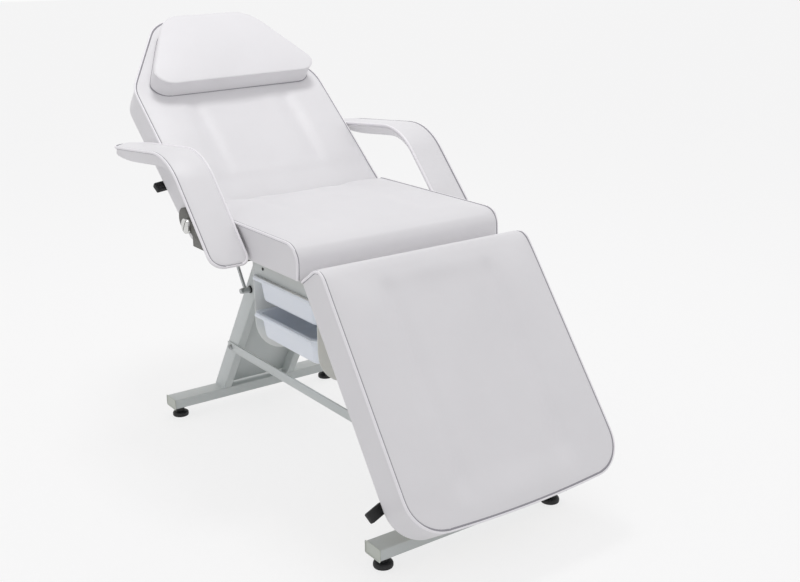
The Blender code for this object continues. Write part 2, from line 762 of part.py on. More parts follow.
def backrest():
    heel = [-BACK_HALF * share for share in ROLL_ROWS]
    shoulder = [BACK_TAPER_START - PANEL_EDGE, BACK_TAPER_START + PANEL_EDGE]
    head = [BACK_LENGTH - HEAD_CORNER * share for share in reversed(PLAIN_CORNER)]
    x_cuts = channel_columns()
    y_cuts = [*heel, 0.0, BACK_TAPER_START / 2, *shoulder, *head]
    z_cuts = [-BACK_HALF, 0.0, BACK_HALF]

    def form(x, y, z):
        if z > 0:
            z += channels(x) * share_of(PILLOW_START - y, CHANNEL_FADE) * share_of(y, CHANNEL_FADE)
        if y < 0:
            z *= math.sqrt(BACK_HALF**2 - y**2) / BACK_HALF
        side = abs(x) > HALF_WIDTH - SAME
        x *= back_half_width(y) / HALF_WIDTH
        if side and abs(z) < SAME and y > 0:
            x -= math.copysign(SIDE_DRAW, x)
        return x, y, z

    soft_block("backrest_cushion", x_cuts, y_cuts, z_cuts, form, VINYL, back)
    wide = HALF_WIDTH - BOARD_INSET
    narrow = HEAD_WIDTH / 2 - BOARD_INSET / 2
    start = BACK_BOARD_START
    end = BACK_LENGTH - BOARD_INSET
    bend = BACK_TAPER_START - BOARD_INSET / 2
    outline = [(-wide, start), (wide, start), (wide, bend), (narrow, end), (-narrow, end), (-wide, bend)]
    board = plate_mesh("backrest_board", outline, BACK_BOARD, "XY")
    add("backrest_board", board, PLYWOOD, back, (0, 0, BACK_BOARD_BASE + BACK_BOARD / 2))


def hinge_arm(side, out):
    """The dark arm on the side of the backrest: narrow round its pivot, wider along the cushion."""
    narrow = HINGE_ARM_WIDTH / 2
    wide = (narrow + HINGE_ARM_REAR) / 2
    outline = arc((HINGE_ARM_LENGTH, narrow - wide), wide, -math.pi / 2, math.pi / 2)
    outline += arc((0, 0), narrow, math.pi / 2, 1.25 * math.pi)
    bore = circle((0, 0), PIVOT_DIAMETER / 2 + PIN_CLEARANCE)
    name = f"hinge_arm_{side}"
    x = out * (HALF_WIDTH + GAP + HINGE_ARM_THICK / 2)
    mesh = plate_mesh(name, outline, HINGE_ARM_THICK, "YZ", [bore])
    bevel(add(name, mesh, DARK_STEEL, back, (x, 0, 0)), EDGE_BEVEL)


def pillow():
    """The wedge-shaped pillow, wide toward the seat and narrow toward the head end."""
    start = PILLOW_START
    end = start + PILLOW_LENGTH
    base_z = BACK_HALF + GAP
    top_z = base_z + PILLOW_THICK
    wide = PILLOW_WIDE / 2
    rows = (0.0, PILLOW_EDGE, PILLOW_CORNER)
    x_cuts = mirrored([wide * PILLOW_COLUMN, wide - PILLOW_EDGE, wide])
    y_cuts = [*[start + row for row in rows], (start + end) / 2, *[end - row for row in reversed(rows)]]
    z_cuts = [base_z, base_z + PILLOW_WAIST, top_z]

    def form(x, y, z):
        share = max(y - start - PILLOW_CORNER, 0.0) / (PILLOW_LENGTH - PILLOW_CORNER)
        half = wide + share * (PILLOW_NARROW / 2 - wide)
        half -= round_end(y - start, PILLOW_CORNER) + round_end(end - y, PILLOW_CORNER)
        side = abs(x) > wide - SAME
        middle = math.cos(math.pi / 2 * min(abs(x) / wide, 1.0))
        x *= half / wide
        if z == z_cuts[1]:
            x -= math.copysign(SIDE_DRAW, x) if side else 0.0
        if z > z_cuts[1]:
            z += PILLOW_CROWN * middle * math.sin(math.pi * (y - start) / PILLOW_LENGTH)
        return x, y, z

    soft_block("pillow", x_cuts, y_cuts, z_cuts, form, VINYL, back)


backrest()
pillow()
for side_name, side_sign in SIDES.items():
    hinge_arm(side_name, side_sign)


# Leg rest
def leg_rest():
    start = KNEE_TUCK
    end = start - LEG_LENGTH
    foot = [end + FOOT_CORNER * share for share in FINE_CORNER]
    knee = [start - PANEL_EDGE - CHANNEL_FADE, start - PANEL_EDGE, start]
    x_cuts = channel_columns()
    y_cuts = [*foot, end / 2, *knee]
    z_cuts = [LEG_LIFT, LEG_LIFT + LEG_THICK / 2, LEG_LIFT + LEG_THICK]

    def form(x, y, z):
        side = abs(x) > HALF_WIDTH - SAME
        knee_end = y > start - SAME
        fade = share_of(y - end - PANEL_EDGE, FOOT_CORNER) * share_of(start - y, CHANNEL_FADE)
        flare = LEG_FLARE * (start - y) / LEG_LENGTH
        x *= 1 + (flare - round_end(y - end, FOOT_CORNER)) / HALF_WIDTH
        if z == z_cuts[1]:
            x -= math.copysign(SIDE_DRAW, x) if side else 0.0
            y -= SIDE_DRAW if knee_end else 0.0
        if z > z_cuts[1]:
            z += channels(x) * fade
            y -= PANEL_EDGE / 2 if knee_end else 0.0
        return x, y, z

    soft_block("leg_rest_cushion", x_cuts, y_cuts, z_cuts, form, VINYL, leg)
    half = HALF_WIDTH - BOARD_INSET
    cut = FOOT_CORNER - BOARD_INSET / 2
    far = end + BOARD_INSET
    near = start - BOARD_KNEE_INSET
    right = [(-half, near), (-half, far + cut), (cut - half, far)]
    outline = right + [(-x, y) for x, y in reversed(right)]
    board = plate_mesh("leg_rest_board", outline, LEG_BOARD, "XY")
    add("leg_rest_board", board, PLYWOOD, leg, (0, 0, LEG_BOARD_BASE + LEG_BOARD / 2))


def knee_strap(side, out):
    """The strap under the leg rest board, with a knuckle round the knee pin."""
    start = LUG_SPACING / 2 + LUG_THICK / 2 + GAP
    edges = sorted((out * start, out * (start + STRAP_WIDTH)))
    name = f"knee_strap_{side}"
    under = LEG_BOARD_BASE - GAP
    mesh = box_mesh(name, (edges[0], -STRAP_LENGTH, under - STRAP_THICK), (edges[1], 0, under))
    strap = add(name, mesh, ZINC, leg)
    combine(strap, rod_mesh(f"knuckle_{side}", KNUCKLE_DIAMETER / 2, *edges), "UNION")
    bore = STRUT_PIN / 2 + PIN_CLEARANCE
    past = sorted((out * (start - STRAP_WIDTH), out * (start + 2 * STRAP_WIDTH)))
    combine(strap, rod_mesh(f"knuckle_bore_{side}", bore, *past), "DIFFERENCE")


leg_rest()
for side_name, side_sign in SIDES.items():
    knee_strap(side_name, side_sign)


# Lock struts. Both ends of a strut stand at the same distance from the hinge it works on,
# so the strut always turns by half the hinge's angle.
def strut_span(radius, opening):
    """Distance between a strut's two pins when they stand at one angle about the hinge."""
    return 2 * radius * math.sin(opening / 2)


def clevis(name, parent, x, y, under, drop_z, lever_spot):
    """A plate under a board with two cheeks, the strut's pin and the lever's headed pin."""
    cheek_in = EYE_LENGTH / 2 + 2 * GAP
    cheek_out = cheek_in + CLEVIS_CHEEK
    length = CLEVIS_LENGTH / 2
    left = min(x - cheek_out, lever_spot[0] - LEVER_PIN_HEAD)
    low = (left, min(y, lever_spot[1]) - length, under - CLEVIS_PLATE)
    high = (x + cheek_out, max(y, lever_spot[1]) + length, under)
    made = add(name, box_mesh(name, low, high), ZINC, parent)
    eye = STRUT_EYE / 2
    for out in SIDES.values():
        outline = arc((y, drop_z), eye, math.pi, 2 * math.pi)
        outline += [(y + eye, under - CLEVIS_PLATE / 2), (y - eye, under - CLEVIS_PLATE / 2)]
        cheek = plate_mesh(f"{name}_cheek", outline, CLEVIS_CHEEK, "YZ")
        combine(made, cheek, "UNION", (x + out * (cheek_in + cheek_out) / 2, 0, 0))
    reach = cheek_in + CLEVIS_CHEEK / 2
    combine(made, rod_mesh(f"{name}_pin", STRUT_PIN / 2, -reach, reach), "UNION", (x, y, drop_z))
    head_top = under - CLEVIS_PLATE - LEVER_THICK - 4 * GAP
    sunk = CLEVIS_PLATE / 2
    stem = rod_mesh(f"{name}_stem", LEVER_PIN / 2, head_top - sunk, under - sunk, "Z")
    combine(made, stem, "UNION", (*lever_spot, 0))
    head = rod_mesh(f"{name}_head", LEVER_PIN_HEAD / 2, head_top - CLEVIS_PLATE, head_top, "Z")
    combine(made, head, "UNION", (*lever_spot, 0))


def strut_parts(name, tube_frame, rod_frame, shortest, longest):
    """The tube hangs from the clevis along its frame's +Z; the rod stands on its lower pin along its own."""
    eye = STRUT_EYE / 2
    mouth = shortest - eye - STRUT_END_GAP
    rod_length = longest - mouth + ROD_HOLD
    bore_end = shortest - rod_length - STRUT_END_GAP
    bore = STRUT_ROD / 2 + ROD_CLEARANCE
    outer = STRUT_TUBE / 2
    closed = eye + STRUT_END_GAP
    profile = [(0, bore_end), (bore, bore_end), (bore, mouth), (outer, mouth), (outer, closed), (0, closed)]
    tube = turned_part(f"{name}_tube", profile, DARK_STEEL, tube_frame)
    half = EYE_LENGTH / 2
    hole = STRUT_PIN / 2 + PIN_CLEARANCE
    outline = arc((0, 0), eye, math.pi, 2 * math.pi) + [(eye, closed + eye / 2), (-eye, closed + eye / 2)]
    tongue = plate_mesh(f"{name}_tongue", outline, EYE_LENGTH, "YZ", [circle((0, 0), hole)])
    combine(tube, tongue, "UNION")
    rod = add(f"{name}_rod", rod_mesh(f"{name}_rod", STRUT_ROD / 2, 0, rod_length, "Z"), ZINC, rod_frame)
    combine(rod, rod_mesh(f"{name}_eye", eye, -half, half), "UNION")
    combine(rod, rod_mesh(f"{name}_eye_hole", hole, -2 * half, 2 * half), "DIFFERENCE")


def turn_toward(direction):
    """X rotation that turns +Z to a direction given as an angle from +Y toward +Z."""
    return direction - math.pi / 2


def backrest_strut():
    """From a bolt on the right rear post up to the underside of the backrest."""
    pin = Vector((post_y(BACK_STRUT_Z), BACK_STRUT_Z))
    to_pin = pin - Vector((BACK_PIVOT_Y, BACK_PIVOT_Z))
    radius = to_pin.length
    under = BACK_BOARD_BASE - GAP
    drop_z = under - CLEVIS_PLATE - CLEVIS_DROP
    clevis_y = math.sqrt(radius**2 - drop_z**2)
    clevis_turn = math.atan2(drop_z, clevis_y)
    pin_angle = math.atan2(to_pin.y, to_pin.x)
    opening = BACK_ANGLE + clevis_turn - pin_angle
    direction = pin_angle + opening / 2 + math.pi / 2
    lever_spot = (BACK_STRUT_X - LEVER_PIN_OFFSET, clevis_y)
    clevis("backrest_clevis", back, BACK_STRUT_X, clevis_y, under, drop_z, lever_spot)
    rod_frame = empty("backrest_rod_pivot", base, (BACK_STRUT_X, *pin), turn_toward(direction))
    tube_frame = empty(
        "backrest_tube_pivot",
        back,
        (BACK_STRUT_X, clevis_y, drop_z),
        turn_toward(direction + math.pi - BACK_ANGLE),
    )
    shortest = strut_span(radius, opening - BACK_ANGLE)
    longest = strut_span(radius, opening + BACK_LIMIT - BACK_ANGLE)
    strut_parts("backrest_strut", tube_frame, rod_frame, shortest, longest)
    half = EYE_LENGTH / 2
    head = BACK_STRUT_X - half - GAP
    bolt = rod_mesh("strut_bolt", STRUT_PIN / 2, head - GAP, -POST_OUTSIDE - GAP)
    made = add("strut_bolt", bolt, ZINC, base, (0, *pin))
    combine(made, rod_mesh("strut_bolt_head", BOLT_HEAD / 2, head - BOLT_HEAD_THICK, head), "UNION")
    spacer_end = BACK_STRUT_X + half + GAP
    spacer = rod_mesh("strut_spacer", STRUT_EYE / 2, spacer_end, -POST_OUTSIDE - GAP)
    combine(made, spacer, "UNION")
    return lever_spot, under


def leg_strut():
    """From a clevis on the tray unit's front plate out to the underside of the leg rest."""
    pin = Vector((-CARRIER_LENGTH / 2 - CARRIER_SHEET / 2 - LEG_STRUT_REACH, LEG_STRUT_Z))
    to_pin = pin - Vector((KNEE_Y, KNEE_Z))
    radius = to_pin.length
    under = LEG_BOARD_BASE - GAP
    drop_z = under - CLEVIS_PLATE - CLEVIS_DROP
    clevis_y = -math.sqrt(radius**2 - drop_z**2)
    clevis_turn = math.atan2(drop_z, clevis_y)
    pin_angle = math.atan2(to_pin.y, to_pin.x)
    clevis_angle = LEG_ANGLE + clevis_turn
    opening = pin_angle - clevis_angle
    direction = pin_angle - opening / 2 - math.pi / 2
    lever_spot = (-LEVER_PIN_OFFSET, clevis_y)
    clevis("leg_rest_clevis", leg, 0.0, clevis_y, under, drop_z, lever_spot)
    rod_frame = empty("leg_rod_pivot", base, (0, *pin), turn_toward(direction))
    tube_frame = empty(
        "leg_tube_pivot", leg, (0, clevis_y, drop_z), turn_toward(direction + math.pi - LEG_ANGLE)
    )
    shortest = strut_span(radius, opening)
    longest = strut_span(radius, opening + LEG_ANGLE)
    strut_parts("leg_rest_strut", tube_frame, rod_frame, shortest, longest)
    return lever_spot, under, pin


# Release levers
def flat_bar_outline(path, width, eye):
    """Outline of a flat bar along a path, round about its first point and square at its last."""
    points = [Vector(p) for p in path]
    left = []
    right = []
    for index, point in enumerate(points):
        before = (point - points[index - 1]).normalized() if index else None
        after = (points[index + 1] - point).normalized() if index + 1 < len(points) else None
        along = (before or after) + (after or before)
        along.normalize()
        normal = Vector((-along.y, along.x))
        reach = width / 2 / (normal.dot(Vector((-(after or before).y, (after or before).x))))
        left.append(point + normal * reach)
        right.append(point - normal * reach)
    first = (points[1] - points[0]).normalized()
    heading = math.atan2(first.y, first.x)
    half_angle = math.asin(width / eye)
    ring = arc(points[0], eye / 2, heading + half_angle, heading + 2 * math.pi - half_angle)
    return ring + [tuple(p) for p in right[1:]] + [tuple(p) for p in reversed(left[1:])]


def lever(name, parent, spot, path, grip_heading, plate_base):
    """A flat bar that turns on the clevis' headed pin, and its black grip."""
    frame = empty(f"{name}_pivot", parent, (*spot, plate_base - 2 * GAP - LEVER_THICK / 2))
    bore = circle((0, 0), LEVER_PIN / 2 + PIN_CLEARANCE)
    outline = flat_bar_outline(path, LEVER_WIDTH, LEVER_EYE)
    add(name, plate_mesh(name, outline, LEVER_THICK, "XY", [bore]), ZINC, frame)
    grip_name = f"{name}_grip"
    inside = GRIP_POCKET
    half = GRIP_WIDTH / 2
    high = (GRIP_LENGTH - inside, half, GRIP_THICK / 2)
    mesh = box_mesh(grip_name, (-inside, -half, -GRIP_THICK / 2), high)
    grip = add(grip_name, mesh, RUBBER, frame, (*path[-1], 0), (0, 0, grip_heading))
    bevel(grip, GRIP_BEVEL, 2)
    slot = LEVER_WIDTH / 2 + GAP
    deep = LEVER_THICK / 2 + GAP
    pocket = box_mesh(f"{grip_name}_pocket", (-2 * inside, -slot, -deep), (GAP, slot, deep))
    combine(grip, pocket, "DIFFERENCE")


def backrest_lever(spot, under):
    tip = Vector((BACK_GRIP_X, BACK_GRIP_Y)) - Vector(spot)
    bar_end = tip - tip.normalized() * (GRIP_LENGTH - GRIP_POCKET)
    heading = math.atan2(tip.y, tip.x)
    lever("backrest_lever", back, spot, [(0, 0), tuple(bar_end)], heading, under - CLEVIS_PLATE)


def leg_lever(spot, under):
    heading = math.pi + LEG_GRIP_TURN
    tip = Vector((LEG_GRIP_X, LEG_GRIP_Y))
    toward = Vector((math.cos(heading), math.sin(heading)))
    bar_end = tip - toward * (GRIP_LENGTH - GRIP_POCKET)
    elbow = bar_end - toward * (GRIP_POCKET + LEVER_WIDTH)
    start = Vector(spot)
    path = [(0, 0), tuple(elbow - start), tuple(bar_end - start)]
    lever("leg_rest_lever", leg, spot, path, heading, under - CLEVIS_PLATE)


back_spot, back_under = backrest_strut()
leg_spot, leg_under, leg_pin = leg_strut()
backrest_lever(back_spot, back_under)
leg_lever(leg_spot, leg_under)


# Armrests
ARM_TURN = ARM_FRONT_SLOPE + ARM_REAR_SLOPE
ARM_TANGENT = ARM_BEND * math.tan(ARM_TURN / 2)
ARM_REAR_RUN = ARM_REAR - ARM_TANGENT
ARM_LENGTH = ARM_REAR_RUN + ARM_BEND * ARM_TURN + ARM_FRONT - ARM_TANGENT


def arm_path(distance):
    """Point on the armrest's top line and its upward normal, from the rear tip forward."""
    rear = Vector((-math.cos(ARM_REAR_SLOPE), math.sin(ARM_REAR_SLOPE)))
    front = Vector((-math.cos(ARM_FRONT_SLOPE), -math.sin(ARM_FRONT_SLOPE)))
    corner = Vector((ARM_CORNER_Y, ARM_CORNER_Z))
    if distance <= ARM_REAR_RUN:
        point = corner - rear * (ARM_REAR - distance)
        return point, Vector((rear.y, -rear.x))
    turned = (distance - ARM_REAR_RUN) / ARM_BEND
    rear_normal = Vector((rear.y, -rear.x))
    centre = corner - rear * ARM_TANGENT - rear_normal * ARM_BEND
    if turned < ARM_TURN:
        turn = Matrix.Rotation(turned, 2)
        normal = turn @ rear_normal
        return centre + normal * ARM_BEND, normal
    point = corner + front * (distance - ARM_LENGTH + ARM_FRONT)
    return point, Vector((front.y, -front.x))


def arm_depth(distance, inset, outer):
    """Depth of a pad: thin at its edge and full behind a chamfer, or full on the level part's outer side."""
    share = share_of(inset, ARM_CHAMFER)
    if outer:
        level = share_of(ARM_REAR_RUN + ARM_BEND * ARM_TURN - distance, ARM_BEND * ARM_TURN)
        share = max(share, min(level, share_of(distance, ARM_TIP_TAPER)))
    share = min(share, share_of(distance, ARM_CHAMFER), share_of(ARM_LENGTH - distance, ARM_CHAMFER))
    return ARM_EDGE + (ARM_THICK - ARM_EDGE) * share


def armrest(side, out):
    half = ARM_WIDTH / 2
    tip = [ARM_REAR_ROUND * share for share in FINE_CORNER]
    bend = [ARM_REAR_RUN + ARM_BEND * ARM_TURN * share for share in ARM_BEND_ROWS]
    toe = [ARM_LENGTH - ARM_FRONT_ROUND * share for share in reversed(PLAIN_CORNER)]
    x_cuts = mirrored([half - ARM_CHAMFER, half])
    y_cuts = [*tip, ARM_TIP_TAPER, *bend, *toe]
    z_cuts = [-ARM_THICK, -ARM_THICK / 2, 0.0]

    def form(x, y, z):
        point, normal = arm_path(y)
        depth = arm_depth(y, half - abs(x), x * out > 0) * -z / ARM_THICK
        drawn = SIDE_DRAW if abs(x) > half - SAME and z == z_cuts[1] else 0.0
        crown = ARM_CROWN * (1 - (x / half) ** 2) if z == 0.0 and 0.0 < y < ARM_LENGTH else 0.0
        x *= 1 - (round_end(y, ARM_REAR_ROUND) + round_end(ARM_LENGTH - y, ARM_FRONT_ROUND)) / half
        x -= math.copysign(drawn, x)
        place = point + normal * (crown - depth)
        return x, place.x, place.y

    x = out * (HALF_WIDTH + ARM_SIDE_GAP + half)
    soft_block(f"armrest_pad_{side}", x_cuts, y_cuts, z_cuts, form, VINYL, base, (x, 0, 0))


def arm_bracket(side, out):
    """A web between seat and pad, with a plate under the pad and a flat bar under the seat board."""
    top = SEAT_BASE - 2 * GAP - SEAT_BOARD
    low = top - HINGE_BRACKET_THICK
    point, normal = arm_path(ARM_LENGTH)
    back_along = Vector((normal.y, -normal.x))
    start = point - normal * (ARM_THICK + GAP) + back_along * ARM_FRONT_ROUND
    middle = start - normal * ARM_PLATE_THICK / 2
    bar_front = start.x + ARM_BAR_SETBACK
    bar_rear = bar_front + ARM_BAR_WIDTH
    middle_end = middle + back_along * ARM_PLATE_LENGTH
    outline = [tuple(middle), tuple(middle_end), (bar_rear, low), (bar_front, low)]
    name = f"arm_bracket_{side}"
    web_x = out * (HALF_WIDTH + ARM_SIDE_GAP / 2)
    web = add(name, plate_mesh(name, outline, ARM_WEB, "YZ"), DARK_STEEL, base, (web_x, 0, 0))
    edges = sorted((0.0, out * ARM_PLATE_WIDTH))
    low_corner = (edges[0], 0.0, -ARM_PLATE_THICK)
    plate = box_mesh(f"arm_plate_{side}", low_corner, (edges[1], ARM_PLATE_LENGTH, 0.0))
    combine(web, plate, "UNION", (0, *start), (ARM_FRONT_SLOPE, 0, 0))
    edges = sorted((0.0, out * (POST_OUTSIDE + BOARD_INSET) - web_x))
    bar = box_mesh(f"arm_bar_{side}", (edges[0], bar_front, low), (edges[1], bar_rear, top))
    combine(web, bar, "UNION")


for side_name, side_sign in SIDES.items():
    armrest(side_name, side_sign)
    arm_bracket(side_name, side_sign)


# Tray unit
INSIDE = CARRIER_LENGTH / 2 - CARRIER_SHEET / 2


def end_plate(end, sign):
    """A hanging sheet with round lower corners and a runner for each tray."""
    half = CARRIER_WIDTH / 2
    top = RAIL_BASE - GAP
    r = CARRIER_CORNER
    outline = arc((r - half, CARRIER_BASE + r), r, math.pi, 1.5 * math.pi)
    outline += arc((half - r, CARRIER_BASE + r), r, 1.5 * math.pi, 2 * math.pi)
    outline += [(half, top), (-half, top)]
    name = f"tray_plate_{end}"
    y = sign * CARRIER_LENGTH / 2
    plate = add(name, plate_mesh(name, outline, CARRIER_SHEET, "XZ"), WHITE_SHEET, base, (0, y, 0))
    for level in range(2):
        rest = UPPER_TRAY_Z - level * TRAY_PITCH - GAP
        edges = sorted((0.0, -sign * (CARRIER_SHEET / 2 + RUNNER_WIDTH)))
        low = (-half + RUNNER_WIDTH, edges[0], rest - RUNNER_THICK)
        high = (TRAY_FRONT + TRAY_LENGTH, edges[1], rest)
        combine(plate, box_mesh(f"runner_{end}_{level}", low, high), "UNION")
    return plate


def strip(side, out):
    """The band that ties the two plates above the upper tray."""
    half = CARRIER_WIDTH / 2
    edges = sorted((out * half, out * (half - CARRIER_SHEET)))
    name = f"tray_strip_{side}"
    low = (edges[0], -INSIDE + GAP, UPPER_TRAY_Z + TRAY_WALL + STRIP_CLEARANCE)
    high = (edges[1], INSIDE - GAP, RAIL_BASE - GAP)
    add(name, box_mesh(name, low, high), WHITE_SHEET, base)


def tray(name, rim):
    """A deep tray with sloping walls; the underside of its lip rests on the runners."""
    place = empty(f"{name}_slide", base, (TRAY_FRONT + TRAY_LENGTH / 2, 0, rim))
    reach = (TRAY_LENGTH / 2, INSIDE - TRAY_CLEARANCE)
    top = (reach[0] - TRAY_LIP, INSIDE - RUNNER_WIDTH - TRAY_CLEARANCE)
    shape = bmesh.new()
    bmesh.ops.create_cube(shape, size=2.0)
    for vert in shape.verts:
        draft = 0.0 if vert.co.z > 0 else TRAY_DRAFT
        x = math.copysign(top[0] - draft, vert.co.x)
        y = math.copysign(top[1] - draft, vert.co.y)
        vert.co = (x, y, 0.0 if vert.co.z > 0 else -TRAY_HEIGHT)
    shape.normal_update()
    lid = [face for face in shape.faces if face.normal.z > FACING]
    bmesh.ops.delete(shape, geom=lid, context="FACES_ONLY")
    upright = [e for e in shape.edges if abs(e.verts[0].co.z - e.verts[1].co.z) > TRAY_HEIGHT / 2]
    cuts = {"segments": TRAY_CORNER_CUTS, "profile": ROUND_PROFILE}
    bmesh.ops.bevel(shape, geom=upright, offset=TRAY_CORNER, affect="EDGES", **cuts)
    rim_edges = [edge for edge in shape.edges if edge.is_boundary]
    grown = bmesh.ops.extrude_edge_only(shape, edges=rim_edges)["geom"]
    for vert in (item for item in grown if isinstance(item, bmesh.types.BMVert)):
        vert.co.x *= reach[0] / top[0]
        vert.co.y *= reach[1] / top[1]
    shape.normal_update()
    bmesh.ops.recalc_face_normals(shape, faces=shape.faces)
    floor = min(shape.faces, key=lambda face: face.calc_center_median().z)
    if floor.normal.z > 0:
        bmesh.ops.reverse_faces(shape, faces=shape.faces)
    made = add(name, to_mesh(name, shape), TRAY_PLASTIC, place)
    wall = made.modifiers.new("wall", "SOLIDIFY")
    wall.thickness = TRAY_WALL
    wall.offset = -1
    wall.use_even_offset = True


def strut_anchor(plate):
    """Two cheeks and a pin on the front plate, where the leg rest's strut stands."""
    cheek_in = EYE_LENGTH / 2 + 2 * GAP
    eye = STRUT_EYE / 2
    y = leg_pin.x - plate.location.y
    z = leg_pin.y
    outline = arc((y, z), eye, math.pi / 2, 1.5 * math.pi) + [(0, z - eye), (0, z + eye)]
    for out in SIDES.values():
        cheek = plate_mesh("anchor_cheek", outline, CLEVIS_CHEEK, "YZ")
        combine(plate, cheek, "UNION", (out * (cheek_in + CLEVIS_CHEEK / 2), 0, 0))
    reach = cheek_in + CLEVIS_CHEEK / 2
    combine(plate, rod_mesh("anchor_pin", STRUT_PIN / 2, -reach, reach), "UNION", (0, y, z))


for end_name, end_sign in ENDS.items():
    hung = end_plate(end_name, end_sign)
    if end_name == "front":
        strut_anchor(hung)
strip("right", SIDES["right"])
tray("upper_tray", UPPER_TRAY_Z)
tray("lower_tray", UPPER_TRAY_Z - TRAY_PITCH)


# The middle of the couch's box stands on the origin
bpy.context.view_layer.update()
graph = bpy.context.evaluated_depsgraph_get()
corners = []
for piece in parts.objects:
    if piece.type != "MESH":
        continue
    mesh = piece.evaluated_get(graph).to_mesh()
    points = np.empty(len(mesh.vertices) * 3)
    mesh.vertices.foreach_get("co", points)
    turned = points.reshape(-1, 3) @ np.array(piece.matrix_world.to_3x3()).T
    world = turned + np.array(piece.matrix_world.translation)
    corners += [world.min(axis=0), world.max(axis=0)]
    piece.evaluated_get(graph).to_mesh_clear()
low_corner = np.min(corners, axis=0)
high_corner = np.max(corners, axis=0)
middle = (low_corner + high_corner) / 2
base.location = (-middle[0], -middle[1], -low_corner[2])
bpy.context.view_layer.update()

print("box", np.round(high_corner - low_corner, 4).tolist())
for frame in parts.objects:
    if frame.type == "EMPTY":
        print("axis", frame.name, [round(v, 5) for v in frame.matrix_world.translation])
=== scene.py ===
# %% [markdown]
# # A reclining treatment couch
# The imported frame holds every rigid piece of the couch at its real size. This lesson gives those
# pieces their finish, models again the ones whose edges a camera would catch, and sews the cushions.
# Lengths are in metres, +Z is up, the head end lies at +Y and the sitter's right side at -X.

# %% Load the frame
import json
import math

import bpy
from mathutils import Matrix, Vector


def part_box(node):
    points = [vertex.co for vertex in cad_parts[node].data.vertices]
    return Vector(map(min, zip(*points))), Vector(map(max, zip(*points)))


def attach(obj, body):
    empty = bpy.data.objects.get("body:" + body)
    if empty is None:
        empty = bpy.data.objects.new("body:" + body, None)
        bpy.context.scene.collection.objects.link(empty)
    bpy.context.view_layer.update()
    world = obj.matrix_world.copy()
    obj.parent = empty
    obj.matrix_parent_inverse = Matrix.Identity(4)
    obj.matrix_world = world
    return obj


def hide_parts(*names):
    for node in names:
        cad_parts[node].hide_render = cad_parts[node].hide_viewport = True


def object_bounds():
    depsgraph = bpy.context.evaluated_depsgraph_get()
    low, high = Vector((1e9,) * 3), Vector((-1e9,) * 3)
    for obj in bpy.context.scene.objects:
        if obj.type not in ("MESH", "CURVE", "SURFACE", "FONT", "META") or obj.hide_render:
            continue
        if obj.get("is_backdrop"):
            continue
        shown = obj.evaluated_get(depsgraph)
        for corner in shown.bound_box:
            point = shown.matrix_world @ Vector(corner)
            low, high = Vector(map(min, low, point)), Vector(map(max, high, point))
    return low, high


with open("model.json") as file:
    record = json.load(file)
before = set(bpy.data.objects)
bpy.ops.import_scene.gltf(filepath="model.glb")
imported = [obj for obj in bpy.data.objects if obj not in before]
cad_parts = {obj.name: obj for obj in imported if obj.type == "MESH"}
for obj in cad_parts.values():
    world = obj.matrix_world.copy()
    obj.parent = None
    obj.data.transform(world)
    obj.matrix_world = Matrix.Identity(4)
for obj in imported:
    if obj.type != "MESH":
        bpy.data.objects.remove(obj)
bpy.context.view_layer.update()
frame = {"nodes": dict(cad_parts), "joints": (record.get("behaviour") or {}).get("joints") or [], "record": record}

scene = bpy.context.scene

# %% [markdown]
# ## Where things are measured from
# The backrest and the leg rest turn on two axes, and both are known to the frame. Every cushion is
# drawn lying flat beside its own axis, where its sizes are easy to read, and is then turned by its
# rest angle and moved to the axis. That is simpler than drawing a slanted cushion in place.

# %% Axes and angles
axis_of = {joint["name"]: joint.get("pos_m") for joint in frame["joints"]}
BACK_PIVOT = Vector(axis_of["backrest_recline"])
KNEE_PIVOT = Vector(axis_of["leg_rest_tilt"])
BACK_ANGLE = math.radians(40)
BACK_LIMIT = math.radians(56)
LEG_ANGLE = math.radians(54)
SIDES = {"right": -1, "left": 1}
ENDS = ("front", "rear")
print("backrest axis", tuple(BACK_PIVOT), "knee axis", tuple(KNEE_PIVOT))

# %% [markdown]
# ## The camera
# The camera stands to the front and right of the couch, a little above the armrests, and looks down
# at it. Its place, turn and lens were worked out from the corners of the couch, so the couch lies on
# the same pixels as in the photograph. Turning it by angles keeps its small roll easy to read.

# %% Place the camera
FRAME_WIDTH = 800
FOCAL_PIXELS = 1102.96
SENSOR = 36.0
CAMERA_PLACE = (-1.4650, -2.3475, 1.3011)
CAMERA_TURN = math.radians(-35.56)
CAMERA_DROP = math.radians(17.20)
CAMERA_ROLL = math.radians(-0.59)
turned = Matrix.Rotation(CAMERA_TURN, 4, "Z") @ Matrix.Rotation(math.pi / 2 - CAMERA_DROP, 4, "X")
turned = turned @ Matrix.Rotation(CAMERA_ROLL, 4, "Z")
bpy.ops.object.camera_add(location=CAMERA_PLACE, rotation=turned.to_euler())
camera = bpy.context.object
camera.data.sensor_width = SENSOR
camera.data.lens = FOCAL_PIXELS * SENSOR / FRAME_WIDTH
scene.camera = camera
print("lens", round(camera.data.lens, 2), "mm")

# %% [markdown]
# ## Studio, floor and light
# The couch stands on white paper in a white room, so most of its light comes from all round: the
# world gives that, a little stronger from the walls than from the ceiling. One square softbox hangs
# above the backrest. It lights the panels that look up a little more than the sides, and the pillow
# throws its shadow down the backrest. Camera and mirror rays see the room as plain white.

# %% Light the studio
SOFTBOX_SIZE = 0.8
SOFTBOX_PLACE = (0.1, 0.3, 3.6)
SOFTBOX_POWER = 27.0
WALL_POWER = 0.86
CEILING_POWER = 0.62


def linear(code):
    """The linear colour of an sRGB hex value."""
    shares = [int(code[i : i + 2], 16) / 255 for i in (1, 3, 5)]
    return (*[s / 12.92 if s <= 0.04045 else ((s + 0.055) / 1.055) ** 2.4 for s in shares], 1.0)


